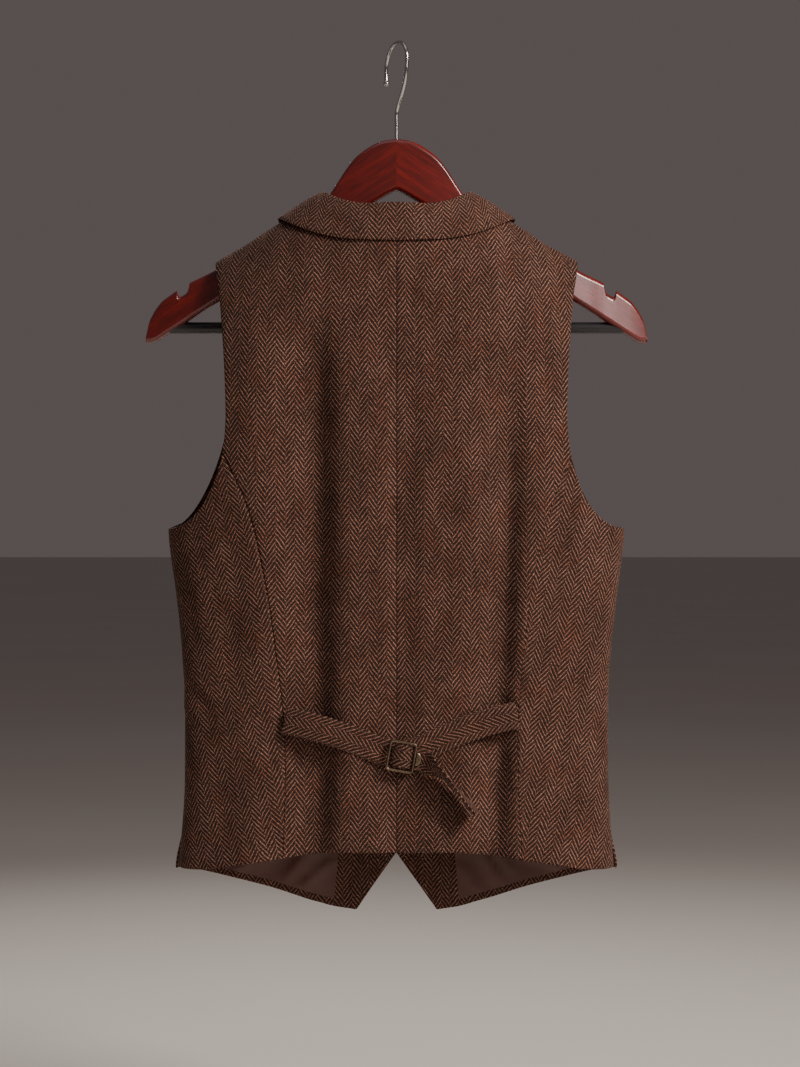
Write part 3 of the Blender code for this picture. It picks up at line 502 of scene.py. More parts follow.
def put(name, points, quads, materials, uv=None, second=None, sharp=50.0, node=None):
    """One mesh of four-sided faces: doubles merged, faces turned outwards, its place in its mesh.

    node is the CAD node it stands for. uv is a place on the flat cloth for each point, in millimetres.
    second marks faces that take the second material.
    """
    points = np.asarray(points, dtype=float).reshape(-1, 3) * MM
    quads = np.asarray(quads).reshape(-1, 4)
    mesh = bpy.data.meshes.new(name)
    mesh.vertices.add(len(points))
    mesh.vertices.foreach_set("co", points.ravel())
    mesh.loops.add(quads.size)
    mesh.loops.foreach_set("vertex_index", quads.ravel())
    mesh.polygons.add(len(quads))
    mesh.polygons.foreach_set("loop_start", np.arange(0, quads.size, 4))
    mesh.update(calc_edges=True)
    for material in materials:
        mesh.materials.append(material)
    if uv is not None:
        layer = mesh.uv_layers.new(name="cloth")
        flat = np.asarray(uv, dtype=float).reshape(-1, 2) * MM
        layer.data.foreach_set("uv", flat[quads.ravel()].ravel())
    if second is not None:
        mesh.polygons.foreach_set("material_index", np.asarray(second, dtype=np.int32))
    bm = bmesh.new()
    bm.from_mesh(mesh)
    bmesh.ops.remove_doubles(bm, verts=bm.verts, dist=1e-6)
    bmesh.ops.recalc_face_normals(bm, faces=bm.faces)
    bm.to_mesh(mesh)
    bm.free()
    mesh.shade_smooth()
    mesh.set_sharp_from_angle(angle=math.radians(sharp))
    obj = bpy.data.objects.new(name, mesh)
    bpy.context.scene.collection.objects.link(obj)
    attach(obj, "root")
    if node is not None:
        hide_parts(node)
    return obj


def grid_quads(rows, columns, around=False):
    """Faces of a grid of points; around joins the last column to the first."""
    index = np.arange(rows * columns).reshape(rows, columns)
    if around:
        index = np.concatenate([index, index[:, :1]], axis=1)
    return np.stack([index[:-1, :-1], index[:-1, 1:], index[1:, 1:], index[1:, :-1]], axis=-1).reshape(-1, 4)


def wall(name, outer, inner, materials, uv=None):
    """A closed wall between two grids. With two materials, the second is on the inner face."""
    rows, columns = outer.shape[:2]
    index = np.arange(rows * columns).reshape(rows, columns)
    rim = np.concatenate([index[0, :], index[1:, -1], index[-1, -2::-1], index[-2:0:-1, 0]])
    ahead = np.roll(rim, -1)
    size = rows * columns
    face = grid_quads(rows, columns)
    edge = np.stack([ahead, rim, rim + size, ahead + size], axis=-1)
    quads = np.concatenate([face, face[:, ::-1] + size, edge])
    second = None
    if len(materials) > 1:
        second = np.concatenate([np.zeros(len(face)), np.ones(len(face)), np.zeros(len(edge))])
    both = None if uv is None else np.concatenate([uv.reshape(-1, 2), uv.reshape(-1, 2)])
    return put(name, np.concatenate([outer.reshape(-1, 3), inner.reshape(-1, 3)]), quads, materials,
               both, second)


def closed_sections(name, sections, materials, joined=False, sharp=50.0, node=None):
    """A body through loops of points. The end loops are drawn together to a point, or joined where it is a
    ring."""
    if joined:
        sections = np.concatenate([sections, sections[:1]])
    else:
        first = np.repeat(sections[0].mean(axis=0, keepdims=True), sections.shape[1], axis=0)[None]
        last = np.repeat(sections[-1].mean(axis=0, keepdims=True), sections.shape[1], axis=0)[None]
        sections = np.concatenate([first, sections, last])
    quads = grid_quads(*sections.shape[:2], around=True)
    return put(name, sections, quads, materials, sharp=sharp, node=node)


def tube_rings(path, radius, normal, around, joined=False):
    """Circles carried along a path: centre + radius (normal cos a + (ahead x normal) sin a)."""
    path = np.asarray(path, dtype=float)
    round_trip = np.roll(path, -1, axis=0) - np.roll(path, 1, axis=0)
    ahead = unit(round_trip if joined else np.gradient(path, axis=0))
    normal = np.broadcast_to(np.asarray(normal, dtype=float), path.shape)
    side = unit(np.cross(ahead, normal))
    normal = np.cross(side, ahead)
    angle = np.arange(around) * 2 * math.pi / around
    radius = np.broadcast_to(radius, len(path))[:, None, None]
    turn = normal[:, None] * np.cos(angle)[:, None] + side[:, None] * np.sin(angle)[:, None]
    return path[:, None] + radius * turn


def row_lengths(points, axis):
    """Length along a line, or along each row (axis 1) or column (axis 0) of a grid, from its start to each
    point."""
    step = np.linalg.norm(np.diff(points, axis=axis), axis=-1)
    start = np.zeros_like(np.take(step, [0], axis=axis))
    return np.concatenate([start, np.cumsum(step, axis=axis)], axis=axis)


def edge_distance(points):
    """Distance of each point of a grid from the nearest of its four edges."""
    along, down = row_lengths(points, 1), row_lengths(points, 0)
    return np.minimum(np.minimum(along, along[:, -1:] - along), np.minimum(down, down[-1:] - down))


def edge_dip(away, thick):
    """How far a cloth's face falls at its edge: a quarter circle over the wall, and a seam's easy hollow.

    The most it comes to is 0.72 of the wall, so the two faces never meet.
    """
    radius = 0.42 * thick
    return radius * (1.0 - np.sqrt(1.0 - np.clip(1.0 - away / radius, 0.0,
                                                 1.0) ** 2)) + 0.30 * thick * np.exp(-away / 1.6)


def cloth_panel(name, spot, lift, thick, materials, turn=0.0):
    """A wall over the form: its outer face at the cloth's lift, its inner face a thickness below, edges
    rounded."""
    theta, phi = spot[..., 0], spot[..., 1]
    bare, normal = on_form(theta, phi)
    raised = cloth_lift(bare, np.sign(phi)) + lift
    away = edge_distance(bare)
    dip = edge_dip(away, thick)
    outer = bare + normal * (raised - dip)[..., None]
    inner = bare + normal * (raised - thick + 0.2 * dip)[..., None]
    obj = wall(name + "_cloth", outer, inner, materials, grain(theta, phi, turn))
    declare(name)


def declare(node):
    """Hides the CAD node that the piece stands for."""
    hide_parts(node)


# ---- outlines ----

def patch(left, right, low, high, columns, rows=None):
    """Coons patch: four edges in (theta, phi), each a (count, 2) array, blended over a grid."""
    v = (np.linspace(0.0, 1.0, len(left)) if rows is None else rows)[:, None, None]
    u = np.asarray(columns)[None, :, None]
    across = left[:, None] * (1 - u) + right[:, None] * u
    upward = low[None] * (1 - v) + high[None] * v
    corners = ((1 - u) * (1 - v) * left[0] + u * (1 - v) * right[0]
               + (1 - u) * v * left[-1] + u * v * right[-1])
    return across + upward - corners


def side_edge(x_of_z, keys, parts, side, crowd=1.0):
    """An edge running down through the key heights; parts gives each stretch's shares."""
    z = [np.array([keys[0]])]
    for top, foot, part in zip(keys[:-1], keys[1:], parts):
        ends = phi_of(np.array([keys[0] - top, keys[0] - foot]))
        share = part[1:] ** (crowd if top == keys[0] else 1.0)
        z.append(keys[0] - drop_of(ends[0] + (ends[1] - ends[0]) * share))
    z = np.concatenate(z)
    theta, phi = place(x_of_z(z), z, side)
    return np.stack([theta, phi], axis=-1)


def neck_point(s):
    """Neck seam on the back, from the centre (s=0) to the shoulder ridge (s=1)."""
    return NECK_X * np.sin(s * math.pi / 2), NECK_PHI * np.cos(s * math.pi / 2)


def roll_line(z):
    top = ridge(NECK_X)
    return NECK_X - (NECK_X + LAP) * (top - z) / (top - BREAK_Z)


def armhole(z, start, narrow, power):
    """From the shoulder tip in to the narrowest width, then a quarter oval out to the underarm."""
    tip = ridge(SHOULDER_TIP_X)
    above = narrow + (SHOULDER_TIP_X - narrow) * np.clip((z - start) / (tip - start), 0.0, 1.0) ** 1.6
    down = np.clip((start - z) / (start - UNDERARM), 0.0, 1.0)
    return above + (CHEST_X - narrow) * (1.0 - (1.0 - down**power) ** (1.0 / power))


def princess(z, hand):
    return curve_through(PRINCESS, 1 if hand > 0 else 2, z)


def side_theta(hand):
    return hand * (math.pi / 2 - (0.5 * SEAM / 50.0) ** (OVAL_POWER / 2))


def ridge_phi(side):
    return side * 0.5 * SEAM / RIDGE_REACH


def princess_edge(hand, offset, part):
    z = PRINCESS_TOP + (PRINCESS_FOOT - PRINCESS_TOP) * part
    return np.stack(place(hand * (princess(z, hand) + offset), z, 1), axis=-1)


def side_seam(z, hand, side):
    """The side seam, on the back (side 1) or the front (side -1)."""
    phi = side * phi_of(ridge(curve_through(GIRTH, 1, z)) - z)
    return np.stack([np.full_like(z, side_theta(hand)), phi], axis=-1)


def hem_phi(theta, hem):
    """How far round the hem lies at each theta."""
    x = HEM_HALF_WIDTH * np.sin(np.abs(theta)) ** (2 / OVAL_POWER)
    return phi_of(ridge(x) - curve_through(hem, 1, x))


def straight(start, end, columns):
    """A straight edge in (theta, phi) from start to end."""
    return start + (end - start) * columns[:, None]


def open_part(count):
    """Shares of a stretch whose start is an edge of the piece."""
    return np.concatenate([np.array([0.0, 0.004, 0.010, 0.020, 0.035]), np.linspace(0.055, 1.0, count)])


def back_spot(hand):
    """Grid of a back: centre seam to armhole and princess seam, neck and shoulder to hem."""
    tip, start = ridge(SHOULDER_TIP_X), 0.5 * SEAM
    upper, lower = open_part(86), 1.0 - open_part(126)[::-1]
    left = side_edge(lambda z: np.full_like(z, hand * start), (NECK_BACK, PRINCESS_TOP, BACK_HEM[0][1]),
                     (upper, lower), 1)
    left[0] = theta_of(hand * start, NECK_BACK), NECK_PHI
    arm = side_edge(lambda z: hand * armhole(z, *BACK_ARMHOLE), (tip, PRINCESS_TOP), (upper,), 1, crowd=1.15)
    arm[0, 1] = ridge_phi(1)
    right = np.concatenate([arm[:-1], princess_edge(hand, -start, lower)])
    columns = crowded(62)
    s = np.minimum(2 * columns, 1.0)
    x, phi = neck_point(s)
    x[0] = start
    beyond = columns > 0.5
    x[beyond] = NECK_X + (SHOULDER_TIP_X - NECK_X) * (2 * columns[beyond] - 1.0)
    high_z = np.where(beyond, ridge(x), ridge(x) - drop_of(phi))
    high_phi = np.where(beyond, ridge_phi(1), np.maximum(phi, ridge_phi(1)))
    high = np.stack([theta_of(hand * x, high_z), high_phi], axis=-1)
    foot = start + (princess(PRINCESS_FOOT, hand) - 2 * start) * columns
    low = np.stack(place(hand * foot, curve_through(BACK_HEM, 1, foot), 1), axis=-1)
    low[-1] = right[-1]
    return patch(left, right, high, low, columns)


def side_back_spot(hand):
    """Grid of a side back: princess seam to side seam, armhole to hem."""
    columns, rows = crowded(40), crowded(130)
    left = princess_edge(hand, 0.5 * SEAM, rows)
    z = UNDERARM + (SIDE_HEM - UNDERARM) * rows
    right = side_seam(z, hand, 1)
    z = PRINCESS_TOP - (PRINCESS_TOP - UNDERARM) * np.sin(columns * math.pi / 2) ** 1.15
    high = np.stack(place(hand * armhole(z, *BACK_ARMHOLE), z, 1), axis=-1)
    high[0], high[-1] = left[0], right[0]
    theta = left[-1, 0] + (side_theta(hand) - left[-1, 0]) * columns
    low = np.stack([theta, hem_phi(theta, BACK_HEM)], axis=-1)
    low[0], low[-1] = left[-1], right[-1]
    return patch(left, right, high, low, columns, rows)


def front_lift(theta, phi, hand):
    """The left front is raised where it laps over the right one; both bow out at the side vent."""
    point = bare_form(theta, phi)
    lap = 0.0
    if hand > 0:
        lap = LAP_LIFT * smooth_step(point[..., 0], *LAP_BLEND)
    vent = VENT[1] * smooth_step((VENT[0] - point[..., 2]) / 32.0)
    return lap + vent * smooth_step((np.abs(theta) - 1.2) / 0.35)


def front_inner(z, hand):
    """Front edge: roll line, straight buttoned edge, then the cutaway to the point."""
    cut = -LAP + (POINT_X + LAP) * np.clip((CUTAWAY_Z - z) / (CUTAWAY_Z - POINT_Z), 0.0, 1.0)
    return hand * np.where(z > BREAK_Z, roll_line(z), cut)


def facing_edge(z):
    """Inboard edge of the facing: straight from the shoulder to the break, then down to the hem."""
    top = ridge(FACING_TOP_X)
    share = np.clip((top - z) / (top - BREAK_Z), 0.0, 1.0)
    return FACING_TOP_X + (FACING_X - FACING_TOP_X) * share + 5.0 * smooth_step((CUTAWAY_Z - z) / 70.0)


FRONT_TOP = np.concatenate([np.array([0.0, 0.004, 0.010, 0.020]), np.linspace(0.04, 1.0, 84)])
FRONT_MIDDLE = np.linspace(0.0, 1.0, 94)
FRONT_LOW = np.linspace(0.0, 1.0, 22)
TURN_UP = np.array([0.0, 0.3, 0.55, 0.75, 0.87, 0.94, 0.975, 1.0])
FACING_ROW = int(np.searchsorted(FRONT_TOP, 0.2))


def low_part(share):
    """Rows of the lowest stretch: down to the turn-up's edge at that share, then to the hem."""
    return np.concatenate([FRONT_LOW * share, share + (1.0 - share) * TURN_UP[1:]])


def front_spots(hand):
    """A front's grid in two parts that meet at the facing's edge: (facing part, lining part)."""
    foot = curve_through(FRONT_HEM, 1, facing_edge(np.array([POINT_Z])))[0]
    parts = (FRONT_TOP, FRONT_MIDDLE, low_part(0.9))
    inner = side_edge(lambda z: front_inner(z, hand), (ridge(NECK_X), BREAK_Z, CUTAWAY_Z, POINT_Z), parts, -1,
                      1.3)
    middle = side_edge(lambda z: hand * facing_edge(z), (ridge(FACING_TOP_X), BREAK_Z, CUTAWAY_Z, foot),
                       parts, -1, 1.3)
    arm = side_edge(lambda z: hand * armhole(z, *FRONT_ARMHOLE[hand]), (ridge(SHOULDER_TIP_X), UNDERARM),
                    parts[:1], -1, 1.3)
    arm[-1, 0] = side_theta(hand)
    low = low_part(1.0 - HEM_TURN / (SIDE_FALL - SIDE_HEM))[1:]
    z = np.concatenate([UNDERARM + (SIDE_FALL - UNDERARM) * FRONT_MIDDLE[1:],
                        SIDE_FALL + (SIDE_HEM - SIDE_FALL) * low])
    outer = np.concatenate([arm, side_seam(z, hand, -1)])
    for edge in (inner, middle, outer):
        edge[0, 1] = ridge_phi(-1)
    spots = []
    close = np.array([0.0, 0.0025, 0.006, 0.012, 0.022])
    facing_columns = np.concatenate([close * 2.5, np.linspace(0.085, 1.0, 34)])
    lining_columns = np.concatenate([np.linspace(0.0, 0.975, 56), 1.0 - close[::-1]])
    for left, right, columns in ((inner, middle, facing_columns), (middle, outer, lining_columns)):
        high = straight(left[0], right[0], columns)
        foot_row = straight(left[-1], right[-1], columns)
        if right is outer:
            foot_row[1:-1, 1] = -hem_phi(foot_row[1:-1, 0], FRONT_HEM)
        spots.append(patch(left, right, high, foot_row, columns))
    return spots


def collar_section(x_seam, phi_seam, x_edge, phi_edge, stand):
    """One section of the collar's middle surface, from the neck seam over the fold to the fall's edge."""
    seam, edge = np.array([x_seam, phi_seam]), np.array([x_edge, phi_edge])
    ends = [bare_form(theta_of(np.float64(x), ridge(x) - drop_of(phi)), np.float64(phi))
            for x, phi in (seam, edge)]
    length = np.linalg.norm(ends[1] - ends[0])
    turn = stand - FOLD_RADIUS
    diagonal = FOLD_RADIUS * math.sqrt(0.5)
    fall = np.linspace(-turn, length, 6)[1:]
    along = np.array([-COLLAR_SEAM, -0.5 * (turn + COLLAR_SEAM), -turn, -turn - diagonal, -stand,
                      -turn - diagonal,
                      -turn, *fall])
    middle = 1.0 + LAYER_GAP + 0.1
    lifts = np.array([-1.0, -1.0, -1.0, middle - 1.1 - diagonal, middle - 1.1, middle - 1.1 + diagonal,
                      middle + 0.1,
                      middle + 0.8, middle + 0.7, middle + 0.3, middle + 0.1, middle])
    spot = seam + (edge - seam) * (along / length)[:, None]
    lifts[7:] += FALL_EASE * np.linspace(0.3, 1.0, 5)
    lifts[5:] += RIDGE_EASE * np.exp(-(spot[5:, 1] / 0.35) ** 2)
    theta = theta_of(spot[:, 0], ridge(spot[:, 0]) - drop_of(spot[:, 1]))
    return bare_form(theta, spot[:, 1]) + form_normal(theta, spot[:, 1]) * lifts[:, None]


def collar_rows():
    """Middle surface of the whole collar: a section at each station round the neck, mirrored over the
    centre."""
    stations = np.concatenate([np.linspace(0.0, 1.0, 46) ** 0.85, 1.0 + np.linspace(0.0, 1.0, 26)[1:] ** 1.2])
    sections = []
    for s in stations:
        if s <= 1.0:
            x_seam, phi_seam = neck_point(s)
            bend = 2 / FALL_POWER
            x_edge = FALL_X * math.sin(s * math.pi / 2) ** bend
            phi_edge = FALL_PHI * max(math.cos(s * math.pi / 2), 0.0) ** bend
            stand = STAND_FRONT + (STAND_BACK - STAND_FRONT) * math.cos(s * math.pi / 2) ** 2
        else:
            u = s - 1.0
            z = ridge(NECK_X) + (GORGE_Z - ridge(NECK_X)) * u**1.5
            x_seam, phi_seam = roll_line(z), -float(phi_of(ridge(roll_line(z)) - z))
            end_phi = -float(phi_of(ridge(COLLAR_END[0]) - COLLAR_END[1]))
            x_edge, phi_edge = FALL_X + (COLLAR_END[0] - FALL_X) * u * u, end_phi * u
            stand = STAND_FRONT
        sections.append(smooth_path(collar_section(x_seam, phi_seam, x_edge, phi_edge, stand), 6))
    half = np.array(sections)
    other = half[:0:-1].copy()
    other[..., 0] *= -1.0
    half[0, :, 0] = 0.0
    return np.concatenate([other, half])


def lapel_spot(hand):
    """Grid of a lapel: roll line to its bellied outer edge, gorge to break."""
    rows = crowded(60)
    z = GORGE_Z - 2.0 + (LAPEL_LOW[hand] - GORGE_Z + 2.0) * rows
    tip_x, tip_z = LAPEL_TIP
    foot_x = roll_line(LAPEL_LOW[hand]) + 0.3 + (2.0 if hand > 0 else 18.0)
    x_out = tip_x + (foot_x - tip_x) * rows + LAPEL_BELLY * np.sin(math.pi * rows**0.8)
    z_out = tip_z + (LAPEL_LOW[hand] - tip_z) * rows
    left = np.stack(place(hand * (roll_line(z) + 0.3), z, -1), axis=-1)
    right = np.stack(place(hand * x_out, z_out, -1), axis=-1)
    columns = crowded(26)
    high, low = (straight(left[end], right[end], columns) for end in (0, -1))
    return patch(left, right, high, low, columns, rows)


def strap_frame(route):
    """Along a strap's route of (x, height, lift, turn) rows: its points, and its ahead, broad and face
    directions."""
    route = smooth_path(route, 8)
    theta, phi = place(route[:, 0], route[:, 1], 1)
    bare, normal = on_form(theta, phi)
    centre = bare + normal * route[:, 2:3]
    ahead = unit(np.gradient(centre, axis=0))
    up = unit(np.cross(normal, ahead))
    turns = np.radians(route[:, 3:4])
    broad = up * np.cos(turns) + np.cross(ahead, up) * np.sin(turns)
    return centre, ahead, broad, np.cross(ahead, broad)


# ---- materials ----

def connect(tree, socket, value):
    """Sets a socket: a node links its first output, an output socket links itself, the rest are values."""
    if isinstance(value, bpy.types.Node):
        value = value.outputs[0]
    if isinstance(value, bpy.types.NodeSocket):
        tree.links.new(value, socket)
    elif socket.type == "RGBA":
        socket.default_value = (*value, 1.0)
    else:
        socket.default_value = value


def add(tree, kind, inputs=None, **settings):
    """A shader node with its settings; each input is a value, a node or an output socket."""
    node = tree.nodes.new("ShaderNode" + kind)
    for key, value in settings.items():
        setattr(node, key, value)
    for key, value in (inputs or {}).items():
        connect(tree, node.inputs[key], value)
    return node


def finish(name):
    """Names a material. Its function builds the nodes on first use, and returns what the shader's sockets
    take."""
    def named(build):
        def material():
            made = bpy.data.materials.get(name)
            if made is None:
                made = bpy.data.materials.new(name)
                made.use_nodes = True
                tree = made.node_tree
                sockets = build(partial(add, tree), bpy.context.scene.waistcoat_colours)
                for key, value in sockets.items():
                    connect(tree, tree.nodes["Principled BSDF"].inputs[key.replace("_", " ")], value)
            return made
        return material
    return named


@finish("herringbone_wool_tweed")
def tweed(node, colours):
    """Herringbone wool tweed, a dark ground under rust and brown lines, matt with a slight nap.

    The repeat is 16.3 mm wide, of two columns. In each, lines 4.9 mm apart down the cloth climb at 53.5
    degrees,
    and turn the other way in the next column, half a line out of step.
    """
    sizes = bpy.context.scene.waistcoat_sizes
    half = sizes.herringbone_repeat / 2
    place_on = node("UVMap", uv_map="cloth").outputs["UV"]
    wander = node("TexNoise", {"Vector": place_on, "Scale": 90.0, "Detail": 3.0})
    wander = node("VectorMath", {0: wander.outputs["Color"], 1: (0.5, 0.5, 0.5)}, operation="SUBTRACT")
    wander = node("VectorMath", {0: wander, "Scale": 0.0022}, operation="SCALE")
    spot = node("VectorMath", {0: place_on, 1: wander}, operation="ADD")
    parts = node("SeparateXYZ", {0: spot})
    across, down = parts.outputs["X"], parts.outputs["Y"]
    # climb of the lines: a triangle wave over two columns, at tan 53.5 degrees
    wave = node("Math", {0: across, 1: half}, operation="PINGPONG")
    climb = node("Math", {0: wave, 1: sizes.line_slope}, operation="MULTIPLY")
    column = node("Math", {0: across, 1: half}, operation="DIVIDE")
    column = node("Math", {0: column}, operation="FLOOR")
    odd = node("Math", {0: column, 1: 1.0}, operation="PINGPONG")
    step = node("Math", {0: odd, 1: 0.5 * sizes.line_spacing}, operation="MULTIPLY")
    rise = node("Math", {0: down, 1: climb}, operation="ADD")
    rise = node("Math", {0: rise, 1: step}, operation="ADD")
    phase = node("Math", {0: rise, 1: 0.5 * sizes.line_spacing}, operation="PINGPONG")
    # 0 in the middle of a light line, 1 in the middle of a dark one
    away = node("Math", {0: phase, 1: 0.5 * sizes.line_spacing}, operation="DIVIDE")
    # each line is broken up by unevenness about 1.6 mm across, as if by its threads
    thread = node("TexNoise", {"Vector": place_on, "Scale": 620.0, "Detail": 2.0, "Roughness": 0.65})
    uneven = node("MapRange", {0: thread.outputs["Fac"], 1: 0.28, 2: 0.72, 3: -0.24, 4: 0.30})
    edge = node("Math", {0: away, 1: uneven}, operation="ADD")
    line = node("MapRange", {0: edge, 1: 0.08, 2: 0.40, 3: 1.0, 4: 0.0}, interpolation_type="SMOOTHSTEP")
    # rusty patches, about 24 mm across
    patches = node("TexNoise", {"Vector": place_on, "Scale": 42.0, "Detail": 4.0, "Roughness": 0.6})
    rusty = node("MapRange", {0: patches.outputs["Fac"], 1: 0.46, 2: 0.68, 3: 0.0, 4: 1.0})
    tone = node("TexNoise", {"Vector": place_on, "Scale": 520.0, "Detail": 2.0, "Roughness": 0.7})
    flecked = node("MapRange", {0: tone.outputs["Fac"], 1: 0.35, 2: 0.68, 3: 0.55, 4: 1.25})
    light = node("Mix", {0: rusty, 6: colours.tweed_light, 7: colours.tweed_rust}, data_type="RGBA")
    light = node("VectorMath", {0: light.outputs[2], "Scale": flecked}, operation="SCALE")
    # the ground is broken into cells 1.7 mm across, as coarse as they need be to show
    spread_out = node("Mapping", {"Vector": place_on, "Scale": (590.0, 590.0, 1.0)})
    checks = node("TexVoronoi", {"Vector": spread_out, "Scale": 1.0, "Randomness": 0.35},
                  distance="CHEBYCHEV")
    ground = node("Math", {0: checks.outputs["Distance"], 1: 1.1, 2: tone.outputs["Fac"]},
                  operation="MULTIPLY_ADD")
    ground = node("MapRange", {0: ground, 1: 0.55, 2: 1.15, 3: 1.0, 4: 0.0})
    dark = node("Mix", {0: ground, 6: colours.tweed_dark, 7: colours.tweed_brown}, data_type="RGBA")
    cloth = node("Mix", {0: line, 6: dark.outputs[2], 7: light}, data_type="RGBA")
    # cloudy darker and lighter areas, about 22 mm wide and 50 mm long
    drawn = node("Mapping", {"Vector": place_on, "Scale": (46.0, 20.0, 1.0)})
    clouds = node("TexNoise", {"Vector": drawn, "Scale": 1.0, "Detail": 6.0, "Roughness": 0.66})
    clouded = node("MapRange", {0: clouds.outputs["Fac"], 1: 0.34, 2: 0.66, 3: 0.70, 4: 1.13})
    cloth = node("VectorMath", {0: cloth.outputs[2], "Scale": clouded}, operation="SCALE")
    # relief: the light lines stand up, and a nap 0.7 mm across roughens both
    fibre = node("TexNoise", {"Vector": place_on, "Scale": 1500.0, "Detail": 2.0})
    height = node("Math", {0: fibre.outputs["Fac"], 1: 0.5, 2: line}, operation="MULTIPLY_ADD")
    bump = node("Bump", {"Strength": 0.55, "Distance": 0.00035, "Height": height})
    rough = node("MapRange", {0: line, 1: 0.0, 2: 1.0, 3: 0.95, 4: 0.82})
    return dict(Base_Color=cloth, Roughness=rough, Normal=bump,
                Specular_IOR_Level=0.14, Sheen_Weight=0.04, Sheen_Roughness=0.5)


@finish("brown_lining_satin")
def satin(node, colours):
    """Dark brown lining satin, taken to be viscose: a soft sheen that follows the folds, with faint cross
    threads."""
    place_on = node("UVMap", uv_map="cloth").outputs["UV"]
    # the threads are drawn 1.8 mm apart, because a satin's own are too fine to show
    threads = node("TexWave", {"Vector": place_on, "Scale": 175.0, "Distortion": 1.5, "Detail": 2.0},
                   bands_direction="Y")
    drift = node("TexNoise", {"Vector": place_on, "Scale": 26.0, "Detail": 3.0})
    mixed = node("Mix", {0: drift.outputs["Fac"], 6: colours.satin_dark,
                         7: colours.satin_light}, data_type="RGBA")
    bump = node("Bump", {"Strength": 0.12, "Distance": 0.0001, "Height": threads.outputs["Fac"]})
    return dict(Base_Color=mixed.outputs[2], Roughness=0.42, Normal=bump, Specular_IOR_Level=0.5,
                Sheen_Weight=0.08, Sheen_Roughness=0.3, Anisotropic=0.4)


@finish("brown_sewing_thread")
def sewing_thread(node, colours):
    """Sewing thread, taken to be spun polyester: dark brown, mottled 0.6 mm across as a twist is."""
    where = node("TexCoord").outputs["Object"]
    twist = node("TexNoise", {"Vector": where, "Scale": 1800.0, "Detail": 1.0})
    mixed = node("Mix", {0: twist.outputs["Fac"], 6: linear("#241712"),
                         7: linear("#7d5c4a")}, data_type="RGBA")
    return dict(Base_Color=mixed.outputs[2], Roughness=0.6, Sheen_Weight=0.1)


@finish("polished_horn_effect_polyester")
def horn(node, colours):
    """Horn-effect polyester, moulded and polished, by its look: dark brown with paler streaks."""
    where = node("TexCoord").outputs["Object"]
    stretched = node("Mapping", {"Vector": where, "Scale": (220.0, 60.0, 420.0)})
    streak = node("TexNoise", {"Vector": stretched, "Scale": 1.0, "Detail": 5.0, "Distortion": 0.8})
    share = node("MapRange", {0: streak.outputs["Fac"], 1: 0.42, 2: 0.7, 3: 0.0, 4: 1.0})
    mixed = node("Mix", {0: share, 6: colours.horn_dark, 7: colours.horn_light}, data_type="RGBA")
    rough = node("MapRange", {0: streak.outputs["Fac"], 1: 0.3, 2: 0.8, 3: 0.2, 4: 0.34})
    return dict(Base_Color=mixed.outputs[2], Roughness=rough, IOR=1.54, Coat_Weight=0.3)


@finish("antiqued_brass_plate")
def brass(node, colours):
    """Antiqued brass plate: dark brown in the hollows, rubbed bright on the high spots."""
    where = node("TexCoord").outputs["Object"]
    tarnish = node("TexNoise", {"Vector": where, "Scale": 120.0, "Detail": 3.0, "Roughness": 0.5})
    rubbed = node("MapRange", {0: tarnish.outputs["Fac"], 1: 0.22, 2: 0.62, 3: 0.0, 4: 1.0})
    mixed = node("Mix", {0: rubbed, 6: colours.brass_dark, 7: colours.brass_light}, data_type="RGBA")
    rough = node("MapRange", {0: rubbed, 1: 0.0, 2: 1.0, 3: 0.48, 4: 0.26})
    bump = node("Bump", {"Strength": 0.08, "Distance": 0.00008, "Height": tarnish.outputs["Fac"]})
    return dict(Base_Color=mixed.outputs[2], Metallic=1.0, Roughness=rough, Normal=bump)


@finish("polished_chrome_wire")
def chrome(node, colours):
    """Polished chrome plate on steel wire: near white, its gloss uneven over 1.4 mm."""
    where = node("TexCoord").outputs["Object"]
    marks = node("TexNoise", {"Vector": where, "Scale": 700.0, "Detail": 2.0})
    mixed = node("Mix", {0: marks.outputs["Fac"], 6: linear("#b9b8b8"),
                         7: linear("#dcdad8")}, data_type="RGBA")
    rough = node("MapRange", {0: marks.outputs["Fac"], 1: 0.3, 2: 0.7, 3: 0.10, 4: 0.20})
    return dict(Base_Color=mixed.outputs[2], Metallic=1.0, Roughness=rough)


@finish("black_satin_bar_coat")
def bar_coat(node, colours):
    """Black coat on the bar, taken to be rubber on a steel tube: satin, with a fine grain 1.1 mm across."""
    where = node("TexCoord").outputs["Object"]
    grit = node("TexNoise", {"Vector": where, "Scale": 900.0, "Detail": 2.0})
    mixed = node("Mix", {0: grit.outputs["Fac"], 6: colours.bar, 7: linear("#2a272b")}, data_type="RGBA")
    bump = node("Bump", {"Strength": 0.25, "Distance": 0.0001, "Height": grit.outputs["Fac"]})
    return dict(Base_Color=mixed.outputs[2], Roughness=0.38, Normal=bump, Coat_Weight=0.25,
                Coat_Roughness=0.3)


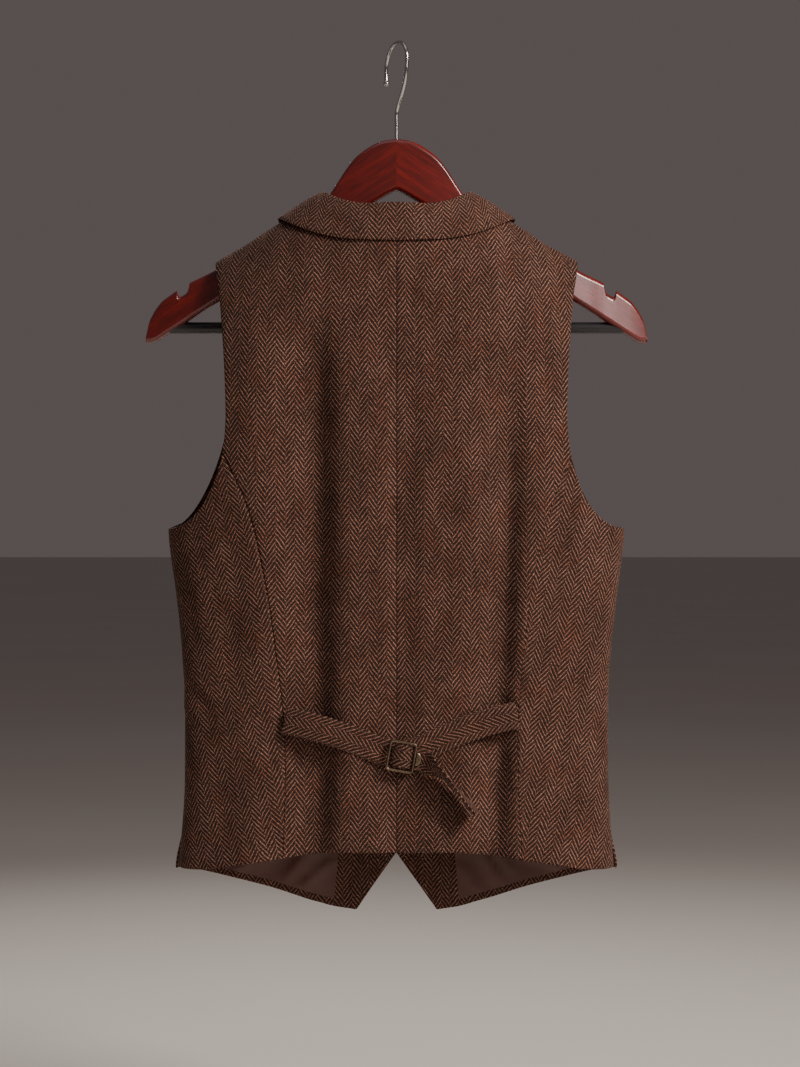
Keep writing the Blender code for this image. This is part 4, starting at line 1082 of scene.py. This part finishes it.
@finish("mahogany_stained_beech_gloss_lacquer")
def lacquered_wood(node, colours):
    """Hardwood, taken to be beech, stained red under clear gloss lacquer: grain along the arms, halves that
    meet. The half on the wearer's left is painted darker as painted shade, away from the key light, and the
    other half is painted lighter as a painted highlight."""
    where = node("TexCoord").outputs["Object"]
    parts = node("SeparateXYZ", {0: where})
    away = node("Math", {0: parts.outputs["X"]}, operation="ABSOLUTE")
    # each half's grain runs down its arm, so the height is sheared by the arm's slope
    level = node("Math", {0: away, 1: 0.64, 2: parts.outputs["Z"]}, operation="MULTIPLY_ADD")
    half = node("Math", {0: parts.outputs["X"], 1: 0.0}, operation="GREATER_THAN")
    shift = node("Math", {0: half, 1: 0.37, 2: parts.outputs["Y"]}, operation="MULTIPLY_ADD")
    along = node("CombineXYZ", {0: parts.outputs["X"], 1: shift, 2: level})
    stretched = node("Mapping", {"Vector": along, "Scale": (9.0, 110.0, 110.0)})
    grain_noise = node("TexNoise", {"Vector": stretched, "Scale": 1.0, "Detail": 6.0,
                                    "Roughness": 0.6, "Distortion": 0.4})
    flecks = node("Mapping", {"Vector": along, "Scale": (90.0, 900.0, 900.0)})
    pores = node("TexNoise", {"Vector": flecks, "Scale": 1.0, "Detail": 3.0})
    share = node("MapRange", {0: grain_noise.outputs["Fac"], 1: 0.3, 2: 0.7, 3: 0.0, 4: 1.0})
    stain = node("Mix", {0: share, 6: colours.wood_dark, 7: colours.wood_light}, data_type="RGBA")
    pore_tone = node("MapRange", {0: pores.outputs["Fac"], 1: 0.36, 2: 0.6, 3: 0.72, 4: 1.06})
    # painted light: the half on the wearer's left (X above 0) is darkened to 0.86 as painted shade, and the
    # half facing the key light is lifted to 1.12 as a painted highlight; this is then multiplied into the
    # pores' real tone
    painted_half_light = node("MapRange", {0: half, 1: 0.0, 2: 1.0, 3: 1.12, 4: 0.86})
    tone = node("Math", {0: pore_tone, 1: painted_half_light}, operation="MULTIPLY")
    mixed = node("VectorMath", {0: stain.outputs[2], "Scale": tone}, operation="SCALE")
    bump = node("Bump", {"Strength": 0.06, "Distance": 0.0002, "Height": pores.outputs["Fac"]})
    return dict(Base_Color=mixed, Roughness=0.34, Normal=bump, IOR=1.5,
                Coat_Weight=0.9, Coat_Roughness=0.16, Coat_IOR=1.5)


@finish("pale_screed")
def pale_floor(node, colours):
    """Smooth pale screed, plain and matt, with a very faint cloud."""
    where = node("TexCoord").outputs["Object"]
    cloud = node("TexNoise", {"Vector": where, "Scale": 1.3, "Detail": 3.0})
    mixed = node("Mix", {0: cloud.outputs["Fac"], 6: linear("#c9c4bf"),
                         7: linear("#d3cec9")}, data_type="RGBA")
    return dict(Base_Color=mixed.outputs[2], Roughness=0.85)


# ---- settings ----

def length(name, description, default):
    return bpy.props.FloatProperty(name=name, description=description, default=default, min=0.0,
                                   unit="LENGTH")


def tint(name, description, default):
    return bpy.props.FloatVectorProperty(name=name, description=description, default=linear(default), size=3,
                                         subtype="COLOR", min=0.0, max=1.0)


class WaistcoatSizes(bpy.types.PropertyGroup):
    tweed_wall: length("Tweed", "Thickness of the tweed panels", 0.002)
    satin_wall: length("Satin", "Thickness of the lining and of the facings", 0.001)
    herringbone_repeat: length("Herringbone repeat", "Width of two columns of the weave", 0.0163)
    line_spacing: length("Line spacing", "Distance between the weave's lines, down the cloth", 0.0049)
    line_slope: bpy.props.FloatProperty(name="Line slope", description="Climb of the weave's lines",
                                        default=1.351)
    side_grain: bpy.props.FloatProperty(name="Side grain", description="Turn of the grain on the side backs",
                                        default=math.radians(10.8), subtype="ANGLE")
    belt_width: length("Belt width", "Width of the back belt's straps", 0.024)
    tail_width: length("Tail width", "Width of the belt's loose end", 0.020)
    belt_wall: length("Belt", "Thickness of the belt, two layers pressed flat", 0.0024)


class WaistcoatColours(bpy.types.PropertyGroup):
    tweed_dark: tint("Tweed dark", "Ground, at its darkest", "#211613")
    tweed_brown: tint("Tweed brown", "Ground, at its lightest", "#4c3830")
    tweed_light: tint("Tweed light", "Lines", "#ab7c6a")
    tweed_rust: tint("Tweed rust", "Lines, in the rusty patches", "#a56a53")
    satin_dark: tint("Satin dark", "Lining, in its deeper tone", "#3d1c16")
    satin_light: tint("Satin light", "Lining, in its paler tone", "#5e3127")
    horn_dark: tint("Horn dark", "Button ground", "#1d120d")
    horn_light: tint("Horn light", "Button streaks", "#5a3d28")
    brass_dark: tint("Brass dark", "Tarnished brass", "#4a3c32")
    brass_light: tint("Brass light", "Rubbed brass", "#93806a")
    wood_dark: tint("Wood dark", "Stain in the grain", "#500a06")
    wood_light: tint("Wood light", "Stain between the grain", "#7a160d")
    bar: tint("Bar", "Coat of the trouser bar", "#151417")


# ---- pieces ----

class WAISTCOAT_OT_backs(bpy.types.Operator):
    """Backs: tweed outside, lining satin inside, with a centre seam"""
    bl_idname = "waistcoat.backs"
    bl_label = "Backs"

    def execute(self, context):
        sizes = context.scene.waistcoat_sizes
        for hand, word in HANDS:
            cloth_panel("back_" + word, back_spot(hand), 0.0, sizes.tweed_wall / MM,
                        [tweed(), satin()])
        return {"FINISHED"}


class WAISTCOAT_OT_side_backs(bpy.types.Operator):
    """Side backs: cut with the grain turned outwards at the top"""
    bl_idname = "waistcoat.side_backs"
    bl_label = "Side backs"

    def execute(self, context):
        sizes = context.scene.waistcoat_sizes
        for hand, word in HANDS:
            cloth_panel("side_back_" + word, side_back_spot(hand), 0.0, sizes.tweed_wall / MM,
                        [tweed(), satin()], turn=hand * sizes.side_grain)
        return {"FINISHED"}


class WAISTCOAT_OT_fronts(bpy.types.Operator):
    """Fronts, each with its tweed facing and its satin lining inside"""
    bl_idname = "waistcoat.fronts"
    bl_label = "Fronts, facings and linings"

    def execute(self, context):
        sizes = context.scene.waistcoat_sizes
        tweed_wall, satin_wall = sizes.tweed_wall / MM, sizes.satin_wall / MM
        inside = -tweed_wall - LAYER_GAP
        for hand, word in HANDS:
            facing, lining = front_spots(hand)
            whole = np.concatenate([facing, lining[:, 1:]], axis=1)
            cloth_panel("front_" + word, whole, front_lift(whole[..., 0], whole[..., 1], hand), tweed_wall,
                        [tweed()])
            part = facing[FACING_ROW:].copy()
            part[:, -1, 0] -= 0.5 * SEAM / BODY_REACH * hand
            cloth_panel("facing_" + word, part, front_lift(part[..., 0], part[..., 1], hand) + inside,
                        satin_wall,
                        [tweed()])
            part = lining[FACING_ROW:1 - len(TURN_UP), :-5].copy()
            part[:, 0, 0] += 0.5 * SEAM / BODY_REACH * hand
            point = bare_form(part[..., 0], part[..., 1])
            loose = np.minimum(crease_depth(point[..., 0], point[..., 2], np.float64(hand), SATIN_CREASES),
                               0.15)
            cloth_panel("lining_" + word, part, front_lift(part[..., 0], part[..., 1], hand) + inside + loose,
                        satin_wall, [satin()])
        return {"FINISHED"}


class WAISTCOAT_OT_lapels(bpy.types.Operator):
    """Lapels: the turned-out upper fronts"""
    bl_idname = "waistcoat.lapels"
    bl_label = "Lapels"

    def execute(self, context):
        wall_thick = context.scene.waistcoat_sizes.tweed_wall / MM
        for hand, word in HANDS:
            spot = lapel_spot(hand)
            lift = front_lift(spot[..., 0], spot[..., 1], hand) + wall_thick + LAPEL_EASE
            roll = math.radians(16.0) * hand
            cloth_panel("lapel_" + word, spot, lift, wall_thick, [tweed()], turn=roll)
        return {"FINISHED"}


class WAISTCOAT_OT_collar(bpy.types.Operator):
    """Collar: a stand inside the neck and a fall turned over it"""
    bl_idname = "waistcoat.collar"
    bl_label = "Collar"

    def execute(self, context):
        middle = collar_rows()
        around, across = np.gradient(middle, axis=0), np.gradient(middle, axis=1)
        normal = unit(np.cross(around, across))
        half = 0.5 * context.scene.waistcoat_sizes.tweed_wall / MM
        away = edge_distance(middle)
        half = half - 0.6 * edge_dip(away, 2 * half)
        along = row_lengths(middle, 0)
        uv = np.stack([along - along[len(middle) // 2], row_lengths(middle, 1)], axis=-1)
        obj = wall("collar_cloth", middle + normal * half[..., None], middle - normal * half[..., None],
                   [tweed()], uv)
        declare("collar")
        return {"FINISHED"}


def strap(node, route, width, thick):
    """A strap: two faces over its route, crowned by (1 - a^8)^(1/2) across, with a sewn groove near each
    edge."""
    centre, ahead, broad, face = strap_frame(route)
    a = np.sin(np.linspace(-math.pi / 2, math.pi / 2, 33))
    crown = np.sqrt(np.clip(1.0 - np.abs(a) ** 8, 0.0,
                            1.0)) - 0.16 * np.exp(-((np.abs(a) - STITCH_EDGE) / 0.05) ** 2)
    run = row_lengths(centre, 0)
    ends = np.sqrt(np.clip(1.0 - np.clip(1.0 - np.minimum(run, run[-1] - run) / 1.2, 0.0, 1.0) ** 2, 0.0,
                           1.0))
    high = 0.5 * thick * crown[None] * (0.25 + 0.75 * ends)[:, None]
    middle = centre[:, None] + broad[:, None] * (a * width / 2)[None, :, None]
    uv = np.stack(np.broadcast_arrays((a * width / 2)[None] + 3.0, run[:, None]), axis=-1)
    proud = face[:, None] * high[..., None]
    obj = wall(node + "_cloth", middle + proud, middle - proud, [tweed()], uv)
    declare(node)
    for word, edge in (("upper", STITCH_EDGE), ("lower", -STITCH_EDGE)):
        line = centre + broad * (edge * width / 2)
        stitch_run(node + "_" + word + "_stitches", line + face * 0.43 * thick, face)


class WAISTCOAT_OT_belt(bpy.types.Operator):
    """Back belt: a strap from each princess seam, and the loose end through the buckle"""
    bl_idname = "waistcoat.belt"
    bl_label = "Belt"

    def execute(self, context):
        sizes = context.scene.waistcoat_sizes
        thick = sizes.belt_wall / MM
        strap("belt_left", BELT_LEFT, sizes.belt_width / MM, thick)
        strap("belt_right", BELT_RIGHT, sizes.belt_width / MM, thick)
        strap("belt_tail", BELT_TAIL, sizes.tail_width / MM, thick)
        return {"FINISHED"}


def stitch_run(name, points, normals, pitch=2.6, long=1.9, radius=0.22):
    """Sewing stitches along a line: short six-sided threads, thinner at their ends, a pitch apart."""
    run = row_lengths(points, 0)
    at = (np.arange(int(run[-1] / pitch)) + 0.5) * pitch
    centre = np.stack([np.interp(at, run, points[:, k]) for k in range(3)], axis=-1)
    ahead = np.stack([np.interp(at, run, np.gradient(points[:, k], run)) for k in range(3)], axis=-1)
    up = np.stack([np.interp(at, run, normals[:, k]) for k in range(3)], axis=-1)
    ahead = unit(ahead)
    side = unit(np.cross(ahead, up))
    ring = np.linspace(-1.0, 1.0, 5)
    angle = np.arange(6) * math.pi / 3
    thin = (radius * np.sqrt(1.0 - 0.9 * ring**2))[None, :, None, None]
    sag = (0.6 * radius * (1.0 - ring**2))[None, :, None, None]
    points = (centre[:, None, None] + ahead[:, None, None] * (ring * long / 2)[None, :, None, None]
              + side[:, None, None] * np.cos(angle)[:, None] * thin
              + up[:, None, None] * (np.sin(angle)[:, None] * thin + sag))
    body = grid_quads(5, 6, around=True)
    caps = np.array([[0, 1, 2, 3], [0, 3, 4, 5], [24, 25, 26, 27], [24, 27, 28, 29]])
    one = np.concatenate([body, caps])
    quads = (one[None] + (np.arange(len(at)) * 30)[:, None, None]).reshape(-1, 4)
    put(name, points, quads, [sewing_thread()])


def seam_line(x_of_z, z_from, z_to, side, lift, hand=0):
    """Points and normals down the cloth, on the line that gives x at each height."""
    z = np.linspace(z_from, z_to, 160)
    theta, phi = place(x_of_z(z), z, side)
    bare, normal = on_form(theta, phi)
    raised = cloth_lift(bare, np.float64(side)) + lift
    if side < 0:
        raised = raised + front_lift(theta, phi, hand)
    return bare + normal * raised[:, None], normal


class WAISTCOAT_OT_stitching(bpy.types.Operator):
    """Topstitching beside the princess seams and along the buttoned front edges"""
    bl_idname = "waistcoat.stitching"
    bl_label = "Stitching"

    def execute(self, context):
        for hand, word in HANDS:
            line = seam_line(lambda z: hand * (princess(z, hand) + 2.2), PRINCESS_TOP - 6.0,
                             PRINCESS_FOOT + 3.0, 1, -0.12)
            stitch_run("princess_" + word + "_stitches", *line)
            line = seam_line(lambda z: front_inner(z, hand) + hand * 4.0, BREAK_Z - 2.0, POINT_Z + 12.0, -1,
                             0.02, hand)
            stitch_run("front_edge_" + word + "_stitches", *line)
        return {"FINISHED"}


def buckle_axes():
    """Origin and axes of the buckle's frame, which lies parallel to the back's middle, turned a little."""
    theta, phi = place(np.float64(FRAME_CENTRE[0]), np.float64(FRAME_CENTRE[1]), 1)
    bare, normal = on_form(theta, phi)
    origin = bare + normal * FRAME_LIFT
    c, s = math.cos(FRAME_TURN), math.sin(FRAME_TURN)
    return origin, np.array([[-c, 0.0, s], [s, 0.0, c], [0.0, 1.0, 0.0]])


class WAISTCOAT_OT_buckle(bpy.types.Operator):
    """Slide buckle: a wire frame, its middle bar and a half-round lever"""
    bl_idname = "waistcoat.buckle"
    bl_label = "Buckle"

    def execute(self, context):
        origin, axes = buckle_axes()
        half_w, half_h, corner = FRAME_SIZE[0] / 2, FRAME_SIZE[1] / 2, FRAME_CORNER
        angle = np.concatenate([np.linspace(q, q + math.pi / 2, 9) for q in np.arange(4) * math.pi / 2])
        sign_x, sign_y = np.repeat([1, -1, -1, 1], 9), np.repeat([1, 1, -1, -1], 9)
        path = np.stack([sign_x * (half_w - corner) + corner * np.cos(angle),
                         sign_y * (half_h - corner) + corner * np.sin(angle), np.zeros(36)], axis=-1)
        rings = tube_rings(path, FRAME_WIRE, (0.0, 0.0, 1.0), 16, joined=True)
        closed_sections("buckle_wire", rings @ axes + origin, [brass()], joined=True,
                        node="buckle_frame")
        reach = half_h - FRAME_WIRE - 0.35
        bar = np.stack([np.full(9, 0.8), np.linspace(-reach, reach, 9), np.full(9, -1.5)], axis=-1)
        rings = tube_rings(bar, FRAME_WIRE * 0.8, (0.0, 0.0, 1.0), 14)
        closed_sections("buckle_middle_bar", rings @ axes + origin, [brass()],
                        node="buckle_bar")
        # half-round plate: radius shares out to the rim, half circle of angles, its rim rounded
        share = np.concatenate([np.linspace(0.0, 0.8, 7), np.array([0.88, 0.94, 0.975, 0.993, 1.0])])
        swing = np.linspace(-math.pi / 2, math.pi / 2, 33)
        reach, broad, half_thick = LEVER_SIZE
        x = half_w + FRAME_WIRE + 0.4 + reach * share[:, None] * np.cos(swing)
        y = broad * share[:, None] * np.sin(swing)
        high = half_thick * np.sqrt(np.clip(1.0 - share**10, 0.0, 1.0))[:, None] * np.ones_like(x)
        top = np.stack([x, y, high], axis=-1) @ axes + origin
        foot = np.stack([x, y, -high], axis=-1) @ axes + origin
        obj = wall("buckle_thumb_lever", top, foot, [brass()])
        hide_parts("buckle_lever")
        return {"FINISHED"}


class WAISTCOAT_OT_buttons(bpy.types.Operator):
    """Buttons with a rim, a dish and four holes, their thread, and the buttonholes beside them"""
    bl_idname = "waistcoat.buttons"
    bl_label = "Buttons and buttonholes"

    def execute(self, context):
        around = 64
        angle = np.arange(around) * 2 * math.pi / around
        outside = smooth_path(BUTTON_PROFILE[:-1], 3)
        inside = np.stack([np.linspace(3.2, 0.0, 22)[1:], np.full(21, BUTTON_PROFILE[-1][1])], axis=-1)
        profile = np.concatenate([outside, inside])
        r, h = profile[:, :1], profile[:, 1:2]
        x, y = r * np.cos(angle), r * np.sin(angle)
        hole_at, hole_radius, hole_depth = BUTTON_HOLE
        near = np.hypot(np.abs(x) - hole_at, np.abs(y) - hole_at)
        top = (np.arange(len(profile)) > len(outside) - 14)[:, None]
        z = h - np.where(top, hole_depth * np.exp(-(near / hole_radius) ** 4), 0.0)
        turned = np.stack([x, y, z], axis=-1)
        loop = np.linspace(0.0, math.pi, 15)
        for index in range(BUTTON_COUNT):
            height = np.float64(BUTTON_TOP - BUTTON_STEP * index)
            theta, phi = place(np.float64(0.0), height, -1)
            bare, normal = on_form(theta, phi)
            seat = bare + normal * (LAP_LIFT + 2 * LAYER_GAP)
            turn = np.array(Vector(normal).to_track_quat("Z", "Y").to_matrix())
            quads = grid_quads(len(profile), around, around=True)
            obj = put("horn_button_%d" % (index + 1), turned @ turn.T + seat, quads, [horn()],
                      sharp=60.0)
            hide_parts("button_%d" % (index + 1))
            for side in (-1, 1):
                path = np.stack([np.full(15, hole_at * side), -hole_at * np.cos(loop),
                                 1.5 + 1.7 * np.sin(loop)], axis=-1)
                rings = tube_rings(path, 0.42, (1.0, 0.0, 0.0), 8)
                closed_sections("button_thread_%d_%d" % (index + 1, (side + 3) // 2), rings @ turn.T + seat,
                                [sewing_thread()])
            # buttonhole: a flat ring of close stitches, wound round a long loop, with a rounded end under
            # the button
            swing = np.linspace(0.0, 2 * math.pi, 73)[:-1]
            across = 5.2 + 7.6 * signed_power(np.cos(swing), 0.7)
            down = height + 1.25 * np.sin(swing) * (1.0 - 0.25 * np.cos(swing))
            theta, phi = place(across, down, -1)
            bare, normals = on_form(theta, phi)
            lift = LAP_LIFT * smooth_step(across, *LAP_BLEND)
            lift = lift + cloth_lift(bare, np.float64(-1.0)) - 0.05
            ring = bare + normals * lift[:, None]
            wound = 0.5 + 0.09 * np.cos(np.arange(72) * math.pi)
            rings = tube_rings(ring, wound, normals, 8, joined=True)
            closed_sections("buttonhole_%d" % (index + 1), rings, [sewing_thread()], joined=True)
        return {"FINISHED"}


class WAISTCOAT_OT_hanger(bpy.types.Operator):
    """Wooden hanger: upright sections along the arms, rounded at the edges and curved forward to the tips"""
    bl_idname = "waistcoat.hanger"
    bl_label = "Wooden hanger"

    def execute(self, context):
        share = np.linspace(0.0, 1.0, 25)
        stations = np.concatenate([
            np.linspace(0.0, 60.2, 34), np.linspace(60.2, NOTCH_X - NOTCH_HALF, 40)[1:],
            NOTCH_X + NOTCH_HALF * np.sin(np.linspace(-math.pi / 2, math.pi / 2, 41))[1:],
            WOOD_TIP - 28.0 * (1.0 - share[3:] ** 0.6) ** 1.6])
        stations = np.unique(np.round(stations, 3))
        x = np.concatenate([-stations[:0:-1], stations])
        away = np.abs(x)
        high = curve_through(WOOD_TOP, 1, away)
        notch = np.clip(np.abs(away - NOTCH_X) / NOTCH_HALF, 0.0, 1.0)
        high = high - NOTCH_DEPTH * (1.0 - notch**4)
        low = WOOD_APEX - WOOD_UNDER_SLOPE * (np.sqrt(away**2 + 9.0) - 3.0)
        low = low + np.where(away > 214.0, ((away - 214.0) / 11.0) ** 2 * 4.5, 0.0)
        low = np.minimum(low, high - 4.0)
        middle, half = (high + low) / 2, (high - low) / 2
        thicken = smooth_step(away, *WOOD_THICKEN)
        thick = WOOD_THICK[0] + (WOOD_THICK[1] - WOOD_THICK[0]) * thicken
        edge = np.minimum(WOOD_EDGE, half * 0.9)[:, None]
        angle = (np.arange(48) + 0.5) * 2 * math.pi / 48
        c, s = np.cos(angle)[None], np.sin(angle)[None]
        y = np.sign(c) * (thick[:, None] / 2 - edge) + edge * c - ARM_SWEEP * (x[:, None] / ARM_REACH) ** 2
        z = np.sign(s) * (half[:, None] - edge) + edge * s + middle[:, None]
        sections = np.stack([np.broadcast_to(x[:, None], y.shape), y, z], axis=-1)
        obj = closed_sections("wooden_hanger", sections, [lacquered_wood()], sharp=60.0)
        even = obj.modifiers.new("flat_faces_stay_flat", "WEIGHTED_NORMAL")
        even.keep_sharp = True
        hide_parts("hanger_wood")
        return {"FINISHED"}


class WAISTCOAT_OT_trouser_bar(bpy.types.Operator):
    """Trouser bar between the hanger's arms"""
    bl_idname = "waistcoat.trouser_bar"
    bl_label = "Trouser bar"

    def execute(self, context):
        x = np.linspace(-BAR_END, BAR_END, 42)
        path = np.stack([x, np.full(42, BAR_Y), np.full(42, BAR_Z)], axis=-1)
        obj = closed_sections("trouser_bar_tube", tube_rings(path, BAR_RADIUS, (0.0, 0.0, 1.0), 28),
                              [bar_coat()])
        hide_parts("hanger_bar")
        return {"FINISHED"}


class WAISTCOAT_OT_hook(bpy.types.Operator):
    """Hook: round wire with a straight stem, an easy bend, the crook and a ball end"""
    bl_idname = "waistcoat.hook"
    bl_label = "Hook"

    def execute(self, context):
        flat = smooth_path(HOOK_GUIDE, 12)
        out = np.array([-math.sin(HOOK_TURN), math.cos(HOOK_TURN)])
        path = np.stack([flat[:, 0] * out[0], flat[:, 0] * out[1], flat[:, 1]], axis=-1)
        onward = unit(path[-1] - path[-2])
        share = np.linspace(0.05, 1.98, 18)
        path = np.concatenate([path, path[-1] + onward * HOOK_BALL * share[:, None]])
        ball = np.maximum(HOOK_BALL * np.sqrt(np.maximum(1.0 - (share - 1.0) ** 2, 0.0)), 0.15)
        ball[:6] = np.maximum(ball[:6], HOOK_WIRE * (share[:6] < 0.35))
        radius = np.concatenate([np.full(len(flat), HOOK_WIRE), ball])
        rings = tube_rings(path, radius, (out[1], -out[0], 0.0), 20)
        closed_sections("hook_wire", rings, [chrome()], node="hanger_hook")
        return {"FINISHED"}


class WAISTCOAT_OT_stage(bpy.types.Operator):
    """Stage: pale floor, soft key light on the hanger's right, and the camera behind the garment"""
    bl_idname = "waistcoat.stage"
    bl_label = "Stage"

    def execute(self, context):
        scene = context.scene
        mesh = bpy.data.meshes.new("floor")
        corners = ((-1, -1), (1, -1), (1, 1), (-1, 1))
        corners = [(x * FLOOR_REACH, y * FLOOR_REACH, FLOOR_HEIGHT) for x, y in corners]
        mesh.from_pydata(corners, [], [(0, 1, 2, 3)])
        mesh.materials.append(pale_floor())
        floor = bpy.data.objects.new("floor", mesh)
        scene.collection.objects.link(floor)
        for name, spot, aim, wide, tall, watts, spread, tone in LIGHTS:
            data = bpy.data.lights.new(name, "AREA")
            data.shape, data.size, data.size_y = "RECTANGLE", wide, tall
            data.energy = watts
            data.color = linear(tone)
            data.spread = math.radians(spread)
            lamp = bpy.data.objects.new(name, data)
            lamp.location = spot
            lamp.rotation_euler = (Vector(aim) - Vector(spot)).to_track_quat("-Z", "Y").to_euler()
            # the fill lights the front's cloth, and would draw a white edge round the lacquer from behind
            lamp.visible_glossy = name != "front_fill"
            scene.collection.objects.link(lamp)
        world = bpy.data.worlds.new("studio")
        world.use_nodes = True
        ground = world.node_tree.nodes["Background"]
        ground.inputs["Color"].default_value = (*linear(ROOM_LIGHT[0]), 1.0)
        ground.inputs["Strength"].default_value = ROOM_LIGHT[1]
        scene.world = world
        lens = bpy.data.cameras.new("camera")
        lens.lens, lens.sensor_width = CAMERA_LENS
        camera = bpy.data.objects.new("camera", lens)
        camera.location = CAMERA_PLACE
        camera.rotation_euler = (math.radians(90.0), 0.0, math.radians(180.0))
        scene.collection.objects.link(camera)
        scene.camera = camera
        return {"FINISHED"}


PIECES = (
    WAISTCOAT_OT_backs, WAISTCOAT_OT_side_backs, WAISTCOAT_OT_fronts, WAISTCOAT_OT_lapels, WAISTCOAT_OT_collar,
    WAISTCOAT_OT_belt, WAISTCOAT_OT_buckle, WAISTCOAT_OT_buttons, WAISTCOAT_OT_stitching, WAISTCOAT_OT_hanger,
    WAISTCOAT_OT_trouser_bar, WAISTCOAT_OT_hook, WAISTCOAT_OT_stage,
)


class WAISTCOAT_PT_panel(bpy.types.Panel):
    """Sizes, colours and pieces of the waistcoat"""
    bl_idname = "WAISTCOAT_PT_panel"
    bl_label = "Waistcoat"
    bl_space_type = "VIEW_3D"
    bl_region_type = "UI"
    bl_category = "Waistcoat"

    def draw(self, context):
        for group in (context.scene.waistcoat_sizes, context.scene.waistcoat_colours):
            box = self.layout.box()
            for name in group.__annotations__:
                box.prop(group, name)
        for piece in PIECES:
            self.layout.operator(piece.bl_idname)


CLASSES = (WaistcoatSizes, WaistcoatColours, *PIECES, WAISTCOAT_PT_panel)


def register():
    for kind in CLASSES:
        bpy.utils.register_class(kind)
    bpy.types.Scene.waistcoat_sizes = bpy.props.PointerProperty(type=WaistcoatSizes)
    bpy.types.Scene.waistcoat_colours = bpy.props.PointerProperty(type=WaistcoatColours)


def unregister():
    del bpy.types.Scene.waistcoat_colours
    del bpy.types.Scene.waistcoat_sizes
    for kind in reversed(CLASSES):
        bpy.utils.unregister_class(kind)


def main():
    register()
    for piece in PIECES:
        group, name = piece.bl_idname.split(".")
        getattr(getattr(bpy.ops, group), name)()
    bpy.context.view_layer.update()


if __name__ == "__main__":
    main()
